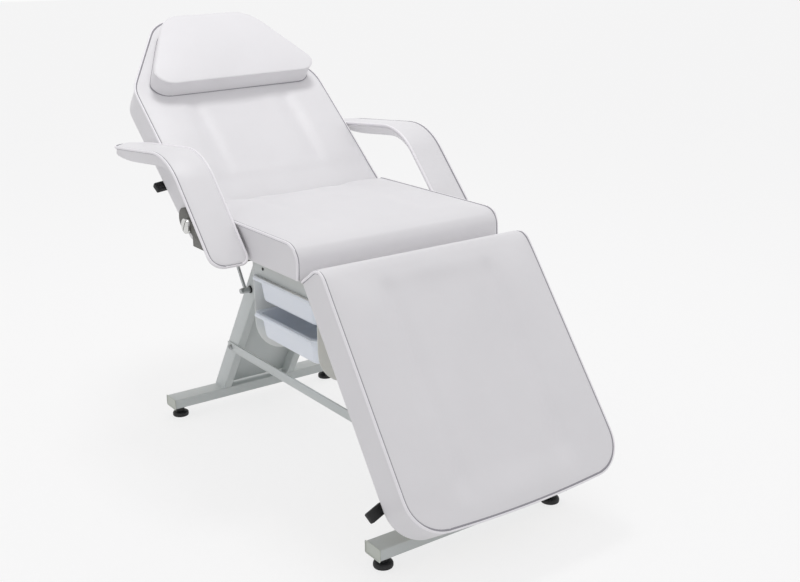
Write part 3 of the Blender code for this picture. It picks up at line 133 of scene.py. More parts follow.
def node(tree, kind, links=None, sockets=None, **settings):
    """Add a node, set it and its sockets, and join its inputs to other nodes' outputs."""
    made = tree.nodes.new(kind)
    for name, value in settings.items():
        setattr(made, name, value)
    for name, value in (sockets or {}).items():
        made.inputs[name].default_value = value
    for name, source in (links or {}).items():
        tree.links.new(source, made.inputs[name])
    return made


def looked_at(tree):
    """1 for a ray that shows a surface as it looks, 0 for one that only carries light to others."""
    ray = node(tree, "ShaderNodeLightPath").outputs
    seen = ray["Is Camera Ray"]
    for kind in ("Is Glossy Ray", "Is Transmission Ray"):
        seen = node(tree, "ShaderNodeMath", {0: seen, 1: ray[kind]}, operation="MAXIMUM").outputs[0]
    return seen


scene.view_settings.view_transform = "Standard"
bpy.ops.object.light_add(type="AREA", location=SOFTBOX_PLACE)
softbox = bpy.context.object
softbox.data.size = SOFTBOX_SIZE
softbox.data.energy = SOFTBOX_POWER
softbox.visible_camera = False

scene.world = bpy.data.worlds.new("studio")
scene.world.use_nodes = True
sky = scene.world.node_tree
sky.nodes.clear()
toward = node(sky, "ShaderNodeTexCoord").outputs["Generated"]
height = node(sky, "ShaderNodeSeparateXYZ", {0: toward}).outputs["Z"]
power = {"To Min": WALL_POWER, "To Max": CEILING_POWER}
level = node(sky, "ShaderNodeMapRange", {"Value": height}, power).outputs["Result"]
fill = node(sky, "ShaderNodeBackground", {"Strength": level}, {"Color": linear("#FEFDFF")})
white = node(sky, "ShaderNodeBackground", sockets={"Color": linear("#FAFAFA"), "Strength": 1.0})
shown = node(
    sky, "ShaderNodeMixShader", {"Fac": looked_at(sky), 1: fill.outputs[0], 2: white.outputs[0]}
)
node(sky, "ShaderNodeOutputWorld", {"Surface": shown.outputs[0]})
print("softbox", SOFTBOX_POWER, "W, walls", WALL_POWER, "ceiling", CEILING_POWER)

# %% [markdown]
# ## Finishes
# Each finish starts from what the real material is. Colours are written as sRGB hex values. A pattern
# is scaled from a real size: a texture of scale 1 / 0.002 repeats about every 2 mm. Some grains are
# finer than a pixel of the render, so they are drawn a little coarser than they are, as noted. One
# pattern lets the colour and the roughness drift, and others raise the surface.

# %% A plain finish and its surface
finishes = {}


def finish(slot, name, color, roughness, metallic=0.0, **sockets):
    """A new material for one slot: its constant values sit on the shader's own sockets."""
    made = bpy.data.materials.new(name)
    made.use_nodes = True
    tree = made.node_tree
    shader = tree.nodes["Principled BSDF"]
    shader.inputs["Base Color"].default_value = linear(color)
    shader.inputs["Roughness"].default_value = roughness
    shader.inputs["Metallic"].default_value = metallic
    for socket, value in sockets.items():
        shader.inputs[socket.replace("_", " ")].default_value = value
    made.diffuse_color = linear(color)
    finishes[slot] = made
    print("finish", name, "for", slot)
    return tree, shader, node(tree, "ShaderNodeTexCoord").outputs["Object"]


def surface(tree, shader, drift, colors=None, rough=None, reliefs=()):
    """Let one pattern drift a finish's colour and roughness, and lay reliefs one upon another."""
    if colors:
        ends = {"A": linear(colors[0]), "B": linear(colors[1])}
        mixed = node(tree, "ShaderNodeMix", {"Factor": drift}, ends, data_type="RGBA")
        tree.links.new(mixed.outputs["Result"], shader.inputs["Base Color"])
    if rough:
        ends = {"To Min": rough[0], "To Max": rough[1]}
        spread = node(tree, "ShaderNodeMapRange", {"Value": drift}, ends)
        tree.links.new(spread.outputs["Result"], shader.inputs["Roughness"])
    below = {}
    for relief, strength, depth in reliefs:
        links = {"Height": relief, **below}
        bump = node(tree, "ShaderNodeBump", links, {"Strength": strength, "Distance": depth})
        below = {"Normal": bump.outputs["Normal"]}
        tree.links.new(bump.outputs["Normal"], shader.inputs["Normal"])


# %% [markdown]
# ### White leathercloth
# The covers are PVC leathercloth: a knitted backing with a white embossed skin. The skin gives a soft
# satin gloss and a pebble grain about 1 mm wide, drawn here at 2 mm so that it can show. Stretched
# over foam, the cloth also waves very slightly, which breaks up the long reflections.

# %% White leathercloth
GRAIN = 0.002
WAVE = 0.085
WAVE_DEPTH = 0.006
CLOUD = 0.16
tree, shader, place = finish("vinyl", "pvc_leathercloth", "#E5E4E6", 0.46, IOR=1.48)
pebble = {"Scale": 1 / GRAIN, "Smoothness": 0.6}
pebbles = node(tree, "ShaderNodeTexVoronoi", {"Vector": place}, pebble, feature="SMOOTH_F1")
waves = node(tree, "ShaderNodeTexNoise", {"Vector": place}, {"Scale": 1 / WAVE, "Detail": 2.0})
clouds = node(tree, "ShaderNodeTexNoise", {"Vector": place}, {"Scale": 1 / CLOUD, "Detail": 3.0})
reliefs = [(pebbles.outputs["Distance"], 0.16, GRAIN / 3), (waves.outputs["Fac"], 0.30, WAVE_DEPTH)]
surface(tree, shader, clouds.outputs["Fac"], ("#E8E7E9", "#E1E0E2"), (0.40, 0.52), reliefs)

# %% [markdown]
# ### Piping and painted seam shade
# The piping is a cord wrapped in the same leathercloth. Pulled tight round the cord, the skin is smoother and
# glossier than on the panels, and its colour is drawn whiter than theirs as painted highlight, for the light the
# round cord catches. Under the piping lies a slightly thicker grey cord whose edges show on both sides of it as
# thin dull lines: painted shade in the seam's fold, with a fine noise about 1 mm across in its tone and surface.

# %% Piping and painted seam shade
SHADE_NOISE_SIZE = 0.0012
RELIEF = 0.0004
FINE_RELIEF = 0.0003
# The piping's colour is lighter than the panels': painted highlight for the light the round cord catches. Its
# gloss and smoother skin are real.
tree, shader, place = finish("piping", "lightened_piping_leathercloth", "#F4F2F5", 0.36, IOR=1.48)
pulled = node(tree, "ShaderNodeTexNoise", {"Vector": place}, {"Scale": 1 / (2 * GRAIN), "Detail": 2.0})
skin = pulled.outputs["Fac"]
surface(tree, shader, skin, ("#F6F4F7", "#F0EEF1"), reliefs=[(skin, 0.15, RELIEF)])

# A grey cord sunk under the piping, whose edges show as thin dark lines beside it: painted shade in the seam's
# fold.
tree, shader, place = finish("tape", "polyester_tape", "#97959B", 0.80)
shade_texture = node(tree, "ShaderNodeTexNoise", {"Vector": place}, {"Scale": 1 / SHADE_NOISE_SIZE, "Detail": 1.0})
shade_noise = shade_texture.outputs["Fac"]
surface(tree, shader, shade_noise, ("#919095", "#9F9DA3"), reliefs=[(shade_noise, 0.4, FINE_RELIEF)])

# %% [markdown]
# ### Powder coat
# The steel frame is sprayed with grey-green polyester powder and baked. The powder melts into a skin
# with a faint orange peel, about 2 mm from dimple to dimple, and collects a little thinner and paler
# in places, so the colour drifts slightly over a hand's width.

# %% Powder coat
PEEL = 0.0022
DRIFT = 0.14
tree, shader, place = finish("paint", "polyester_powder_coat", "#CACFCE", 0.38)
peel = node(tree, "ShaderNodeTexNoise", {"Vector": place}, {"Scale": 1 / PEEL, "Detail": 1.5})
drift = node(tree, "ShaderNodeTexNoise", {"Vector": place}, {"Scale": 1 / DRIFT, "Detail": 4.0})
reliefs = [(peel.outputs["Fac"], 0.22, RELIEF)]
surface(tree, shader, drift.outputs["Fac"], ("#C4CAC9", "#D1D6D5"), (0.30, 0.46), reliefs)

# %% [markdown]
# ### Moulded plastics and white enamel
# The end plugs are pale moulded polyethylene and the trays bluish white polypropylene, which lets a
# little light into itself, so it gets a shallow subsurface colour. The sheet plates that carry the
# trays are stove enamelled white. All three have a fine moulded or sprayed texture.

# %% Moulded plastics and white enamel
TEXTURE = 0.0016
WALL_GLOW = 0.003
GLOW_RADIUS = (1.0, 1.0, 1.0)
ROUGH_SPREAD = 0.06
PALE_FINISHES = {
    "cap_plastic": ("moulded_polyethylene", "#C6CBC3", "#BEC4BB", "#CED2CA", 0.50, 0.0),
    "tray_plastic": ("moulded_polypropylene", "#F0F6FF", "#ECF3FE", "#F4F9FF", 0.40, 0.12),
    "white_sheet": ("stove_enamel", "#EDF0EE", "#E8ECE9", "#F1F3F1", 0.36, 0.0),
}
for slot, (name, color, dim, bright, roughness, depth) in PALE_FINISHES.items():
    inside = {"Subsurface_Radius": GLOW_RADIUS, "Subsurface_Scale": WALL_GLOW}
    tree, shader, place = finish(slot, name, color, roughness, Subsurface_Weight=depth, **inside)
    skin = node(tree, "ShaderNodeTexNoise", {"Vector": place}, {"Scale": 1 / TEXTURE, "Detail": 2.0})
    flow = node(tree, "ShaderNodeTexNoise", {"Vector": place}, {"Scale": 1 / DRIFT, "Detail": 2.0})
    rough = (roughness - ROUGH_SPREAD, roughness + ROUGH_SPREAD)
    reliefs = [(skin.outputs["Fac"], 0.15, FINE_RELIEF)]
    surface(tree, shader, flow.outputs["Fac"], (dim, bright), rough, reliefs)

# %% [markdown]
# ### Black rubber
# Feet and grips are moulded rubber. It is nearly black, reflects only at a glance, and has a matt
# surface that picks up dust, so its roughness varies over a few millimetres.

# %% Black rubber
PORE = 0.0011
DUST = 0.012
tree, shader, place = finish("rubber", "moulded_rubber", "#101012", 0.58)
pores = node(tree, "ShaderNodeTexNoise", {"Vector": place}, {"Scale": 1 / PORE, "Detail": 2.0})
dust = node(tree, "ShaderNodeTexNoise", {"Vector": place}, {"Scale": 1 / DUST, "Detail": 4.0})
reliefs = [(pores.outputs["Fac"], 0.3, FINE_RELIEF)]
surface(tree, shader, dust.outputs["Fac"], ("#0C0C0E", "#161618"), (0.46, 0.70), reliefs)

# %% [markdown]
# ### Bare and plated metal
# Struts, bolts and straps are zinc plated: grey, a little blue, with faint crystals some 3 mm wide.
# The pivot caps are chromed and polished, with hairlines from the buffing wheel. The hinge arms are
# steel with a dark grey lacquer, whose edges have rubbed brighter.

# %% Bare and plated metal
SPANGLE = 0.003
HAIRLINE = 0.0009
BUFFING = (1.0, 1.0, 0.06)
tree, shader, place = finish("zinc", "zinc_plated_steel", "#AFB2B3", 0.34, 1.0)
crystals = node(tree, "ShaderNodeTexVoronoi", {"Vector": place}, {"Scale": 1 / SPANGLE})
surface(tree, shader, crystals.outputs["Color"], ("#A6A9AB", "#B8BBBB"), (0.28, 0.44))

tree, shader, place = finish("chrome", "polished_chrome", "#D6D6D4", 0.14, 1.0)
buffed = node(tree, "ShaderNodeMapping", {"Vector": place}, {"Scale": BUFFING}).outputs["Vector"]
hairs = node(tree, "ShaderNodeTexNoise", {"Vector": buffed}, {"Scale": 1 / HAIRLINE, "Detail": 2.0})
surface(tree, shader, hairs.outputs["Fac"], rough=(0.10, 0.24))

tree, shader, place = finish("dark_steel", "lacquered_steel", "#55544F", 0.42)
marks = node(tree, "ShaderNodeTexNoise", {"Vector": place}, {"Scale": 1 / DUST, "Detail": 5.0})
wear = marks.outputs["Fac"]
rubbed = node(tree, "ShaderNodeNewGeometry").outputs["Pointiness"]
edges = node(tree, "ShaderNodeMapRange", {"Value": rubbed}, {"From Min": 0.50, "From Max": 0.62})
worn = node(tree, "ShaderNodeMath", {0: edges.outputs["Result"], 1: wear}, operation="MULTIPLY")
surface(tree, shader, wear, rough=(0.34, 0.52))
surface(tree, shader, worn.outputs[0], ("#504F4A", "#7A7973"))

# %% [markdown]
# ### Birch plywood
# The cushions are screwed to boards of birch plywood. Peeled veneer shows long soft streaks of
# grain a few millimetres wide. Stretching a noise along the board's length draws them.

# %% Birch plywood
STREAK = 0.006
STRETCH = (1.0, 0.07, 0.3)
tree, shader, place = finish("plywood", "birch_plywood", "#DACDB6", 0.62)
along = node(tree, "ShaderNodeMapping", {"Vector": place}, {"Scale": STRETCH}).outputs["Vector"]
veneer = {"Scale": 1 / STREAK, "Detail": 5.0, "Distortion": 0.6}
streaks = node(tree, "ShaderNodeTexNoise", {"Vector": along}, veneer).outputs["Fac"]
surface(tree, shader, streaks, ("#CFBEA1", "#E4D9C5"), reliefs=[(streaks, 0.2, RELIEF)])

# %% [markdown]
# ## Working by hand in code
# An operator acts on whatever is selected, and the frame's own pieces start selected, so each step
# first clears the selection. Faces or edges are then picked by where they are, with a small test, much
# as one would box-select them in the viewport.

# %% Helpers for selecting, shaping and finishing
NEAR = 0.0001
MERGE = 0.00002
FLAT_ANGLE = math.radians(2)
RUN_SHARE = 0.95
ALONG_X = (0, math.pi / 2, 0)
ALONG_Y = (math.pi / 2, 0, 0)
slots = [row["slot"] for row in frame["record"]["materials"]]
bodies = frame["record"]["behaviour"]["bodies"]
body_of_node = {name: body for body, names in bodies.items() for name in names}


def only(piece):
    """Leave edit mode and make one object the selected and active one."""
    if bpy.context.mode != "OBJECT":
        bpy.ops.object.mode_set(mode="OBJECT")
    bpy.ops.object.select_all(action="DESELECT")
    if piece:
        piece.select_set(True)
        bpy.context.view_layer.objects.active = piece


def select_all(piece):
    """Enter edit mode with every point of one object selected."""
    only(piece)
    bpy.ops.object.mode_set(mode="EDIT")
    bpy.ops.mesh.select_mode(type="VERT")
    bpy.ops.mesh.select_all(action="SELECT")


def pick(piece, kind, test):
    """Enter edit mode with only the faces or edges selected whose corner points pass a test."""
    only(piece)
    bpy.ops.object.mode_set(mode="EDIT")
    bpy.ops.mesh.select_mode(type=kind)
    bpy.ops.mesh.select_all(action="DESELECT")
    bpy.ops.object.mode_set(mode="OBJECT")
    mesh = piece.data
    for item in mesh.edges if kind == "EDGE" else mesh.polygons:
        item.select = bool(test([mesh.vertices[i].co for i in item.vertices]))
    bpy.ops.object.mode_set(mode="EDIT")


def round_edges(piece, radius, test, segments=4):
    """Round the edges that pass a test to a radius."""
    pick(piece, "EDGE", test)
    bpy.ops.mesh.bevel(offset=radius, segments=segments, affect="EDGES")


def at_x(place):
    """A test for edges and faces that lie at one place along X."""
    return lambda points: all(abs(p.x - place) < NEAR for p in points)


def lengthwise(axis):
    """A test for edges that run along one axis."""
    return lambda p: abs((p[1] - p[0])[axis]) > RUN_SHARE * (p[1] - p[0]).length


def face_outward(piece):
    """Turn all faces of an object outward."""
    select_all(piece)
    bpy.ops.mesh.normals_make_consistent(inside=False)
    bpy.ops.object.mode_set(mode="OBJECT")


def cube(low, high):
    """A new cube between two corners, with its size already in its mesh."""
    only(None)
    low, high = Vector(low), Vector(high)
    bpy.ops.mesh.primitive_cube_add(size=1, location=(low + high) / 2, scale=high - low)
    bpy.ops.object.transform_apply(location=True, rotation=True, scale=True)
    return bpy.context.object


def cylinder(radius, length, middle, corners, turn=ALONG_X):
    """A new cylinder about a middle point, with its size already in its mesh."""
    only(None)
    bpy.ops.mesh.primitive_cylinder_add(
        vertices=corners, radius=radius, depth=length, location=middle, rotation=turn
    )
    bpy.ops.object.transform_apply(location=True, rotation=True, scale=True)
    return bpy.context.object


def whole_copy(name):
    """A copy of a frame piece with its flat faces made whole."""
    piece = bpy.data.objects.new(name, frame["nodes"][name].data.copy())
    scene.collection.objects.link(piece)
    select_all(piece)
    bpy.ops.mesh.remove_doubles(threshold=MERGE)
    bpy.ops.mesh.dissolve_limited(angle_limit=FLAT_ANGLE)
    bpy.ops.object.mode_set(mode="OBJECT")
    return piece


def modify(piece, kind, **settings):
    """Add a modifier, set it and apply it."""
    only(piece)
    bpy.ops.object.modifier_add(type=kind)
    step = piece.modifiers[-1]
    for name, value in settings.items():
        setattr(step, name, value)
    bpy.ops.object.modifier_apply(modifier=step.name)


def ease_edges(piece, width, angle=30, segments=2):
    """Bevel every edge that is sharper than an angle."""
    limit = math.radians(angle)
    modify(piece, "BEVEL", width=width, segments=segments, limit_method="ANGLE", angle_limit=limit)


def settle(piece, name, body, slot, replaced=(), smooth=35):
    """Name a piece, put its place into its mesh, give it its finish and let it ride on its body."""
    only(piece)
    bpy.ops.object.transform_apply(location=True, rotation=True, scale=True)
    bpy.ops.object.shade_smooth_by_angle(angle=math.radians(smooth))
    piece.name = name
    piece.data.name = name
    piece.data.materials.clear()
    piece.data.materials.append(finishes[slot])
    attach(piece, body)
    slot if slot in slots else "vinyl"
    if replaced:
        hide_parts(*replaced)


print("slots", slots)

# %% [markdown]
# ## Floor bars
# Each foot of the couch is a length of rectangular tube lying across it. Drawn tube never has a sharp
# edge: its corners are rolled to a few millimetres. A cube of the tube's size gets its four long edges
# bevelled, loses its end faces and is given its wall by Solidify.

# %% Floor bars
TUBE_RADIUS = 0.0030
TUBE_WALL = 0.002
for end in ENDS:
    bar = f"floor_bar_{end}"
    low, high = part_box(bar)
    piece = cube(low, high)
    round_edges(piece, TUBE_RADIUS, lengthwise(0))
    pick(piece, "FACE", lambda p: at_x(low.x)(p) or at_x(high.x)(p))
    bpy.ops.mesh.delete(type="FACE")
    modify(piece, "SOLIDIFY", thickness=TUBE_WALL, offset=-1.0, use_even_offset=True)
    settle(piece, f"rolled_{bar}", "root", "paint", [bar])
print("floor bars", len(ENDS))

# %% [markdown]
# ## End plugs
# A pale plastic plug closes each end of a floor bar. Its rim covers the tube's cut edge and its face
# is slightly sunk inside a raised border. Inset and a short push along the normal make that border.

# %% End plugs
PLUG_BEVEL = 0.0007
PLUG_BORDER = 0.0014
PLUG_SINK = 0.0004
for end in ENDS:
    for side, out in SIDES.items():
        plug = f"end_cap_{end}_{side}"
        low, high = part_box(plug)
        piece = cube(low, high)
        face_x = high.x if out > 0 else low.x
        round_edges(piece, TUBE_RADIUS, lengthwise(0))
        round_edges(piece, PLUG_BEVEL, at_x(face_x), segments=3)
        pick(piece, "FACE", at_x(face_x))
        bpy.ops.mesh.inset(thickness=PLUG_BORDER, depth=0.0)
        bpy.ops.mesh.inset(thickness=PLUG_SINK, depth=-PLUG_SINK)
        settle(piece, f"moulded_{plug}", "root", "cap_plastic", [plug], smooth=30)
print("end plugs", len(ENDS) * len(SIDES))

# %% [markdown]
# ## Leaning posts, seat rails and rear sheet
# The posts are tube too, but they lean, so a cube is sheared by sliding its top face. The rails on
# top of them are cut at the same slant. Reading the heights and edges of the frame's own pieces
# keeps every joint where the welds are.

# %% Posts, rails and sheet
SMALL_EASE = 0.0005


def leaning_block(name):
    """A block between the level bottom and top cuts of a frame piece."""
    low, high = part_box(name)
    points = [v.co for v in frame["nodes"][name].data.vertices]
    piece = cube(low, high)
    for level in (low.z, high.z):
        cut = [p.y for p in points if abs(p.z - level) < NEAR]
        for vert in piece.data.vertices:
            if abs(vert.co.z - level) < NEAR:
                vert.co.y = max(cut) if vert.co.y > (low.y + high.y) / 2 else min(cut)
    return piece


def climbing(points):
    """True for an edge that climbs."""
    return abs(points[1].z - points[0].z) > TUBE_WALL


leaning = {f"post_{end}_{side}": climbing for end in ENDS for side in SIDES}
leaning.update({f"seat_rail_{side}": lengthwise(1) for side in SIDES})
for name, long_edges in leaning.items():
    piece = leaning_block(name)
    round_edges(piece, TUBE_RADIUS, long_edges)
    settle(piece, f"rolled_{name}", "root", "paint", [name], smooth=30)
sheet = leaning_block("rear_panel")
ease_edges(sheet, SMALL_EASE)
settle(sheet, "pressed_rear_panel", "root", "paint", ["rear_panel"], smooth=30)
print("posts and rails", len(leaning), "and one sheet")

# %% [markdown]
# ## Welds
# A post is welded to its floor bar along both of its sides. A weld is a bead of overlapping ripples a
# few millimetres wide, painted with the frame. A thin cylinder cut into rings, with the rings swollen
# in turn by a sine, gives the ripples, and it thins out at both ends.

# %% Weld beads
BEAD_RADIUS = 0.0026
BEAD_RIPPLE = 0.0004
BEAD_STEP = 0.0035
BEAD_RINGS = 44
BEAD_CORNERS = 12
BEAD_END = 0.3
for end in ENDS:
    bar_low, bar_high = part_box(f"floor_bar_{end}")
    length = (bar_high.y - bar_low.y) - 2 * TUBE_RADIUS
    middle = (bar_high.y + bar_low.y) / 2
    for side in SIDES:
        low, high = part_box(f"post_{end}_{side}")
        for place_name, x in (("inner", low.x), ("outer", high.x)):
            bead = cylinder(BEAD_RADIUS, length, (x, middle, bar_high.z), BEAD_CORNERS, ALONG_Y)
            pick(bead, "EDGE", lengthwise(1))
            bpy.ops.mesh.subdivide(number_cuts=BEAD_RINGS)
            bpy.ops.object.mode_set(mode="OBJECT")
            for vert in bead.data.vertices:
                from_end = length / 2 - abs(vert.co.y - middle)
                ripple = 1 + BEAD_RIPPLE / BEAD_RADIUS * math.sin(2 * math.pi * vert.co.y / BEAD_STEP)
                ripple *= min(1.0, BEAD_END + from_end / BEAD_STEP)
                vert.co.x = x + (vert.co.x - x) * ripple
                vert.co.z = bar_high.z + (vert.co.z - bar_high.z) * ripple
            settle(bead, f"weld_{end}_{side}_{place_name}", "root", "paint", smooth=60)
print("weld beads", 2 * len(ENDS) * len(SIDES))

# %% [markdown]
# ## Levelling feet
# The couch stands on four black rubber pads, each with a nut and a stem that screws into its floor
# bar. A foot is round, so its profile is drawn once as a line of points and spun about the upright
# axis. The foot is modelled at one corner and copied to all four.

# %% Levelling feet
FIT_GAP = 0.0003
FOOT_PAD = 0.015
FOOT_NUT = 0.011
FOOT_STEM = 0.005
FOOT_STEPS = 40
COLLAR = 0.001
COLLAR_SIDE = 0.0015
COLLAR_TOP = 0.0022
NUT_EDGE = 0.001
# The pad's lower edge as inset and height, and its shoulder as inset and share of the pad's height
PAD_EDGE = ((0.003, 0.0), (0.0008, 0.0010), (0.0, 0.0032))
PAD_SHOULDER = ((0.0, 0.55), (0.0012, 0.76), (0.0050, 0.92), (0.0090, 1.0))
first_low, first_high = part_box("levelling_foot_front_right")
pad_radius = (first_high.x - first_low.x) / 2
nut_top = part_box("floor_bar_rear")[0].z - FIT_GAP
profile = [(0.0, 0.0)]
profile += [(pad_radius - inset, rise) for inset, rise in PAD_EDGE]
profile += [(pad_radius - inset, FOOT_PAD * share) for inset, share in PAD_SHOULDER]
profile += [
    (FOOT_NUT + COLLAR, FOOT_PAD),
    (FOOT_NUT + COLLAR, FOOT_PAD + COLLAR_SIDE),
    (FOOT_NUT, FOOT_PAD + COLLAR_TOP),
    (FOOT_NUT, nut_top - NUT_EDGE),
    (FOOT_NUT - NUT_EDGE, nut_top),
    (FOOT_STEM, nut_top),
    (FOOT_STEM, first_high.z),
    (0.0, first_high.z),
]
only(None)
bpy.ops.mesh.primitive_plane_add(size=1)
foot = bpy.context.object
select_all(foot)
bpy.ops.mesh.merge(type="CENTER")
for before, after in zip(profile, profile[1:]):
    step = (after[0] - before[0], 0, after[1] - before[1])
    bpy.ops.mesh.extrude_region_move(TRANSFORM_OT_translate={"value": step})
bpy.ops.mesh.select_all(action="SELECT")
bpy.ops.mesh.spin(steps=FOOT_STEPS, angle=2 * math.pi, center=(0, 0, 0), axis=(0, 0, 1))
bpy.ops.mesh.select_all(action="SELECT")
bpy.ops.mesh.remove_doubles(threshold=MERGE)
face_outward(foot)
for end in ENDS:
    for side in SIDES:
        name = f"levelling_foot_{end}_{side}"
        low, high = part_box(name)
        copy = foot.copy()
        copy.data = foot.data.copy()
        scene.collection.objects.link(copy)
        copy.location = ((low.x + high.x) / 2, (low.y + high.y) / 2, low.z)
        settle(copy, f"moulded_{name}", body_of_node[name], "rubber", [name], smooth=40)
bpy.data.objects.remove(foot)
print("feet", len(ENDS) * len(SIDES), "pad radius", round(pad_radius, 4))

# %% [markdown]
# ## Side braces and their bolts
# A flat bar ties the posts on each side. Sheared flat bar keeps a slight burr-free rounding, so a small
# bevel on all of its edges is enough. Its bolts have a washer and a low head with a round socket: a
# disc, inset, raised, inset again and pushed in.

# %% Side braces and bolts
BRACE_BEVEL = 0.0009
BOLT_CORNERS = 36
WASHER_THICK = 0.0016
WASHER_RING = 0.35
SOCKET_RING = 0.45
SOCKET_DEPTH = 0.0022
for side, out in SIDES.items():
    brace = f"side_brace_{side}"
    piece = cube(*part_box(brace))
    ease_edges(piece, BRACE_BEVEL)
    settle(piece, f"sheared_{brace}", "root", "paint", [brace], smooth=30)
    for end in ENDS:
        bolt = f"brace_bolt_{end}_{side}"
        low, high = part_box(bolt)
        middle = (low + high) / 2
        radius = (high.z - low.z) / 2
        inner, outer = (low.x, high.x) if out > 0 else (high.x, low.x)
        shoulder = inner + out * WASHER_THICK
        spot = ((inner + shoulder) / 2, middle.y, middle.z)
        head = cylinder(radius * (1 + WASHER_RING), WASHER_THICK, spot, BOLT_CORNERS)
        pick(head, "FACE", at_x(shoulder))
        for ring, push in ((WASHER_RING, outer - shoulder), (SOCKET_RING, -out * SOCKET_DEPTH)):
            bpy.ops.mesh.inset(thickness=radius * ring, depth=0.0)
            bpy.ops.mesh.extrude_region_move(TRANSFORM_OT_translate={"value": (push, 0, 0)})
        ease_edges(head, SMALL_EASE, angle=50)
        settle(head, f"washer_{bolt}", "root", "zinc", [bolt], smooth=40)
print("braces", len(SIDES), "bolts", len(SIDES) * len(ENDS))

# %% [markdown]
# ## Rigid pieces that only need their edges eased
# Brackets, plates, straps, boards and the hinge arms already have the right form. A copy of each is
# merged into whole faces and its edges are eased by a small bevel, because light catches a real edge
# and never a mathematically sharp one. The struts and levers keep the frame's own form.

# %% Ease the edges of brackets, plates and boards
EASED = {
    "front_cross_rail": (0.0008, "paint"),
    "hinge_arm": (0.0014, "dark_steel"),
    "hinge_bracket": (0.0007, "dark_steel"),
    "arm_bracket": (0.0007, "dark_steel"),
    "tray_plate": (0.0004, "white_sheet"),
    "tray_strip": (0.0005, "paint"),
    "knee_strap": (0.0005, "zinc"),
    "backrest_board": (0.0008, "plywood"),
    "leg_rest_board": (0.0008, "plywood"),
    "seat_board": (0.0008, "plywood"),
}
PLAIN = {"zinc": ("clevis", "rod", "bolt", "_lever"), "dark_steel": ("strut_tube",)}
eased = 0
for name in sorted(frame["nodes"]):
    for start, (width, slot) in EASED.items():
        if name.startswith(start):
            piece = whole_copy(name)
            ease_edges(piece, width, angle=40)
            settle(piece, f"eased_{name}", body_of_node[name], slot, [name], smooth=32)
            eased += 1
for name, cad in frame["nodes"].items():
    for slot, endings in PLAIN.items():
        if name.endswith(endings):
            cad.data.materials.clear()
            cad.data.materials.append(finishes[slot])
print("eased pieces", eased)

# %% [markdown]
# ### A washer and a screw
# A black washer keeps the backrest strut's bolt off the post, and a black screw holds the strip above
# the trays to its plate. Both are short cylinders with their rims eased.

# %% The strut's washer and the strip's screw
SMALL_CORNERS = 32
WASHER_RADIUS = 0.0105
WASHER_REACH = 0.0040
SCREW_RADIUS = 0.0040
SCREW_HEAD = 0.0018
SCREW_INSET = 0.052
SCREW_DROP = 0.016


def black_disc(name, radius, start, end, y, z):
    """A short black cylinder along X with eased rims."""
    piece = cylinder(radius, abs(end - start), ((start + end) / 2, y, z), SMALL_CORNERS)
    ease_edges(piece, SMALL_EASE)
    settle(piece, name, "root", "rubber")


low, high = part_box("strut_bolt")
middle = (low + high) / 2
post_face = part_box("post_rear_right")[0].x
washer_ends = (post_face - SMALL_EASE, post_face - WASHER_REACH)
black_disc("strut_washer", WASHER_RADIUS, *washer_ends, middle.y, middle.z)
low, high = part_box("tray_strip_right")
screw_ends = (low.x + SMALL_EASE, low.x - SCREW_HEAD)
black_disc("strip_screw", SCREW_RADIUS, *screw_ends, high.y - SCREW_INSET, high.z - SCREW_DROP)
print("washer and screw", 2)

# %% [markdown]
# ## Slotted pivot caps
# The backrest turns on a bolt whose large chromed cap shows beside the seat. The cap is a shallow dome
# with a slot for a coin. It starts as a short cylinder: the rim is bevelled, the face inset and raised
# a little for the dome, and a thin block is cut out for the slot.

# %% Pivot caps
CAP_THICK = 0.009
CAP_CORNERS = 48
CAP_ROUND = 0.0016
DOME_RISE = 0.0012
DOME_RING = 0.2
DOME_STEPS = (0.45, 0.3, 0.15, 0.07)
SLOT_WIDTH = 0.0030
SLOT_DEPTH = 0.0022
SLOT_TURN = math.radians(122)
for side, out in SIDES.items():
    cap = f"pivot_cap_{side}"
    low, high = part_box(cap)
    radius = (high.z - low.z) / 2
    face_x = (high.x if out > 0 else low.x) - out * DOME_RISE
    depth = CAP_THICK - DOME_RISE
    middle = (face_x - out * depth / 2, BACK_PIVOT.y, BACK_PIVOT.z)
    piece = cylinder(radius, depth, middle, CAP_CORNERS)
    round_edges(piece, CAP_ROUND, at_x(face_x), segments=3)
    pick(piece, "FACE", at_x(face_x))
    for share in DOME_STEPS:
        bpy.ops.mesh.inset(thickness=radius * DOME_RING, depth=DOME_RISE * share)
    only(None)
    bpy.ops.mesh.primitive_cube_add(
        size=1,
        location=(face_x + out * DOME_RISE, BACK_PIVOT.y, BACK_PIVOT.z),
        rotation=(SLOT_TURN, 0, 0),
        scale=(2 * (SLOT_DEPTH + DOME_RISE), 3 * radius, SLOT_WIDTH),
    )
    cutter = bpy.context.object
    modify(piece, "BOOLEAN", object=cutter, operation="DIFFERENCE", solver="EXACT")
    bpy.data.objects.remove(cutter)
    settle(piece, f"domed_{cap}", "root", "chrome", [cap], smooth=30)
print("pivot caps", len(SIDES), "radius", round(radius, 4))

# %% [markdown]
# ## Grips
# Each release lever ends in a black moulded grip with a groove along a flat side, so that a finger
# does not slip. The frame's own grip is copied, two close cuts are made beside its middle line and the
# thin strip between them is pushed in.

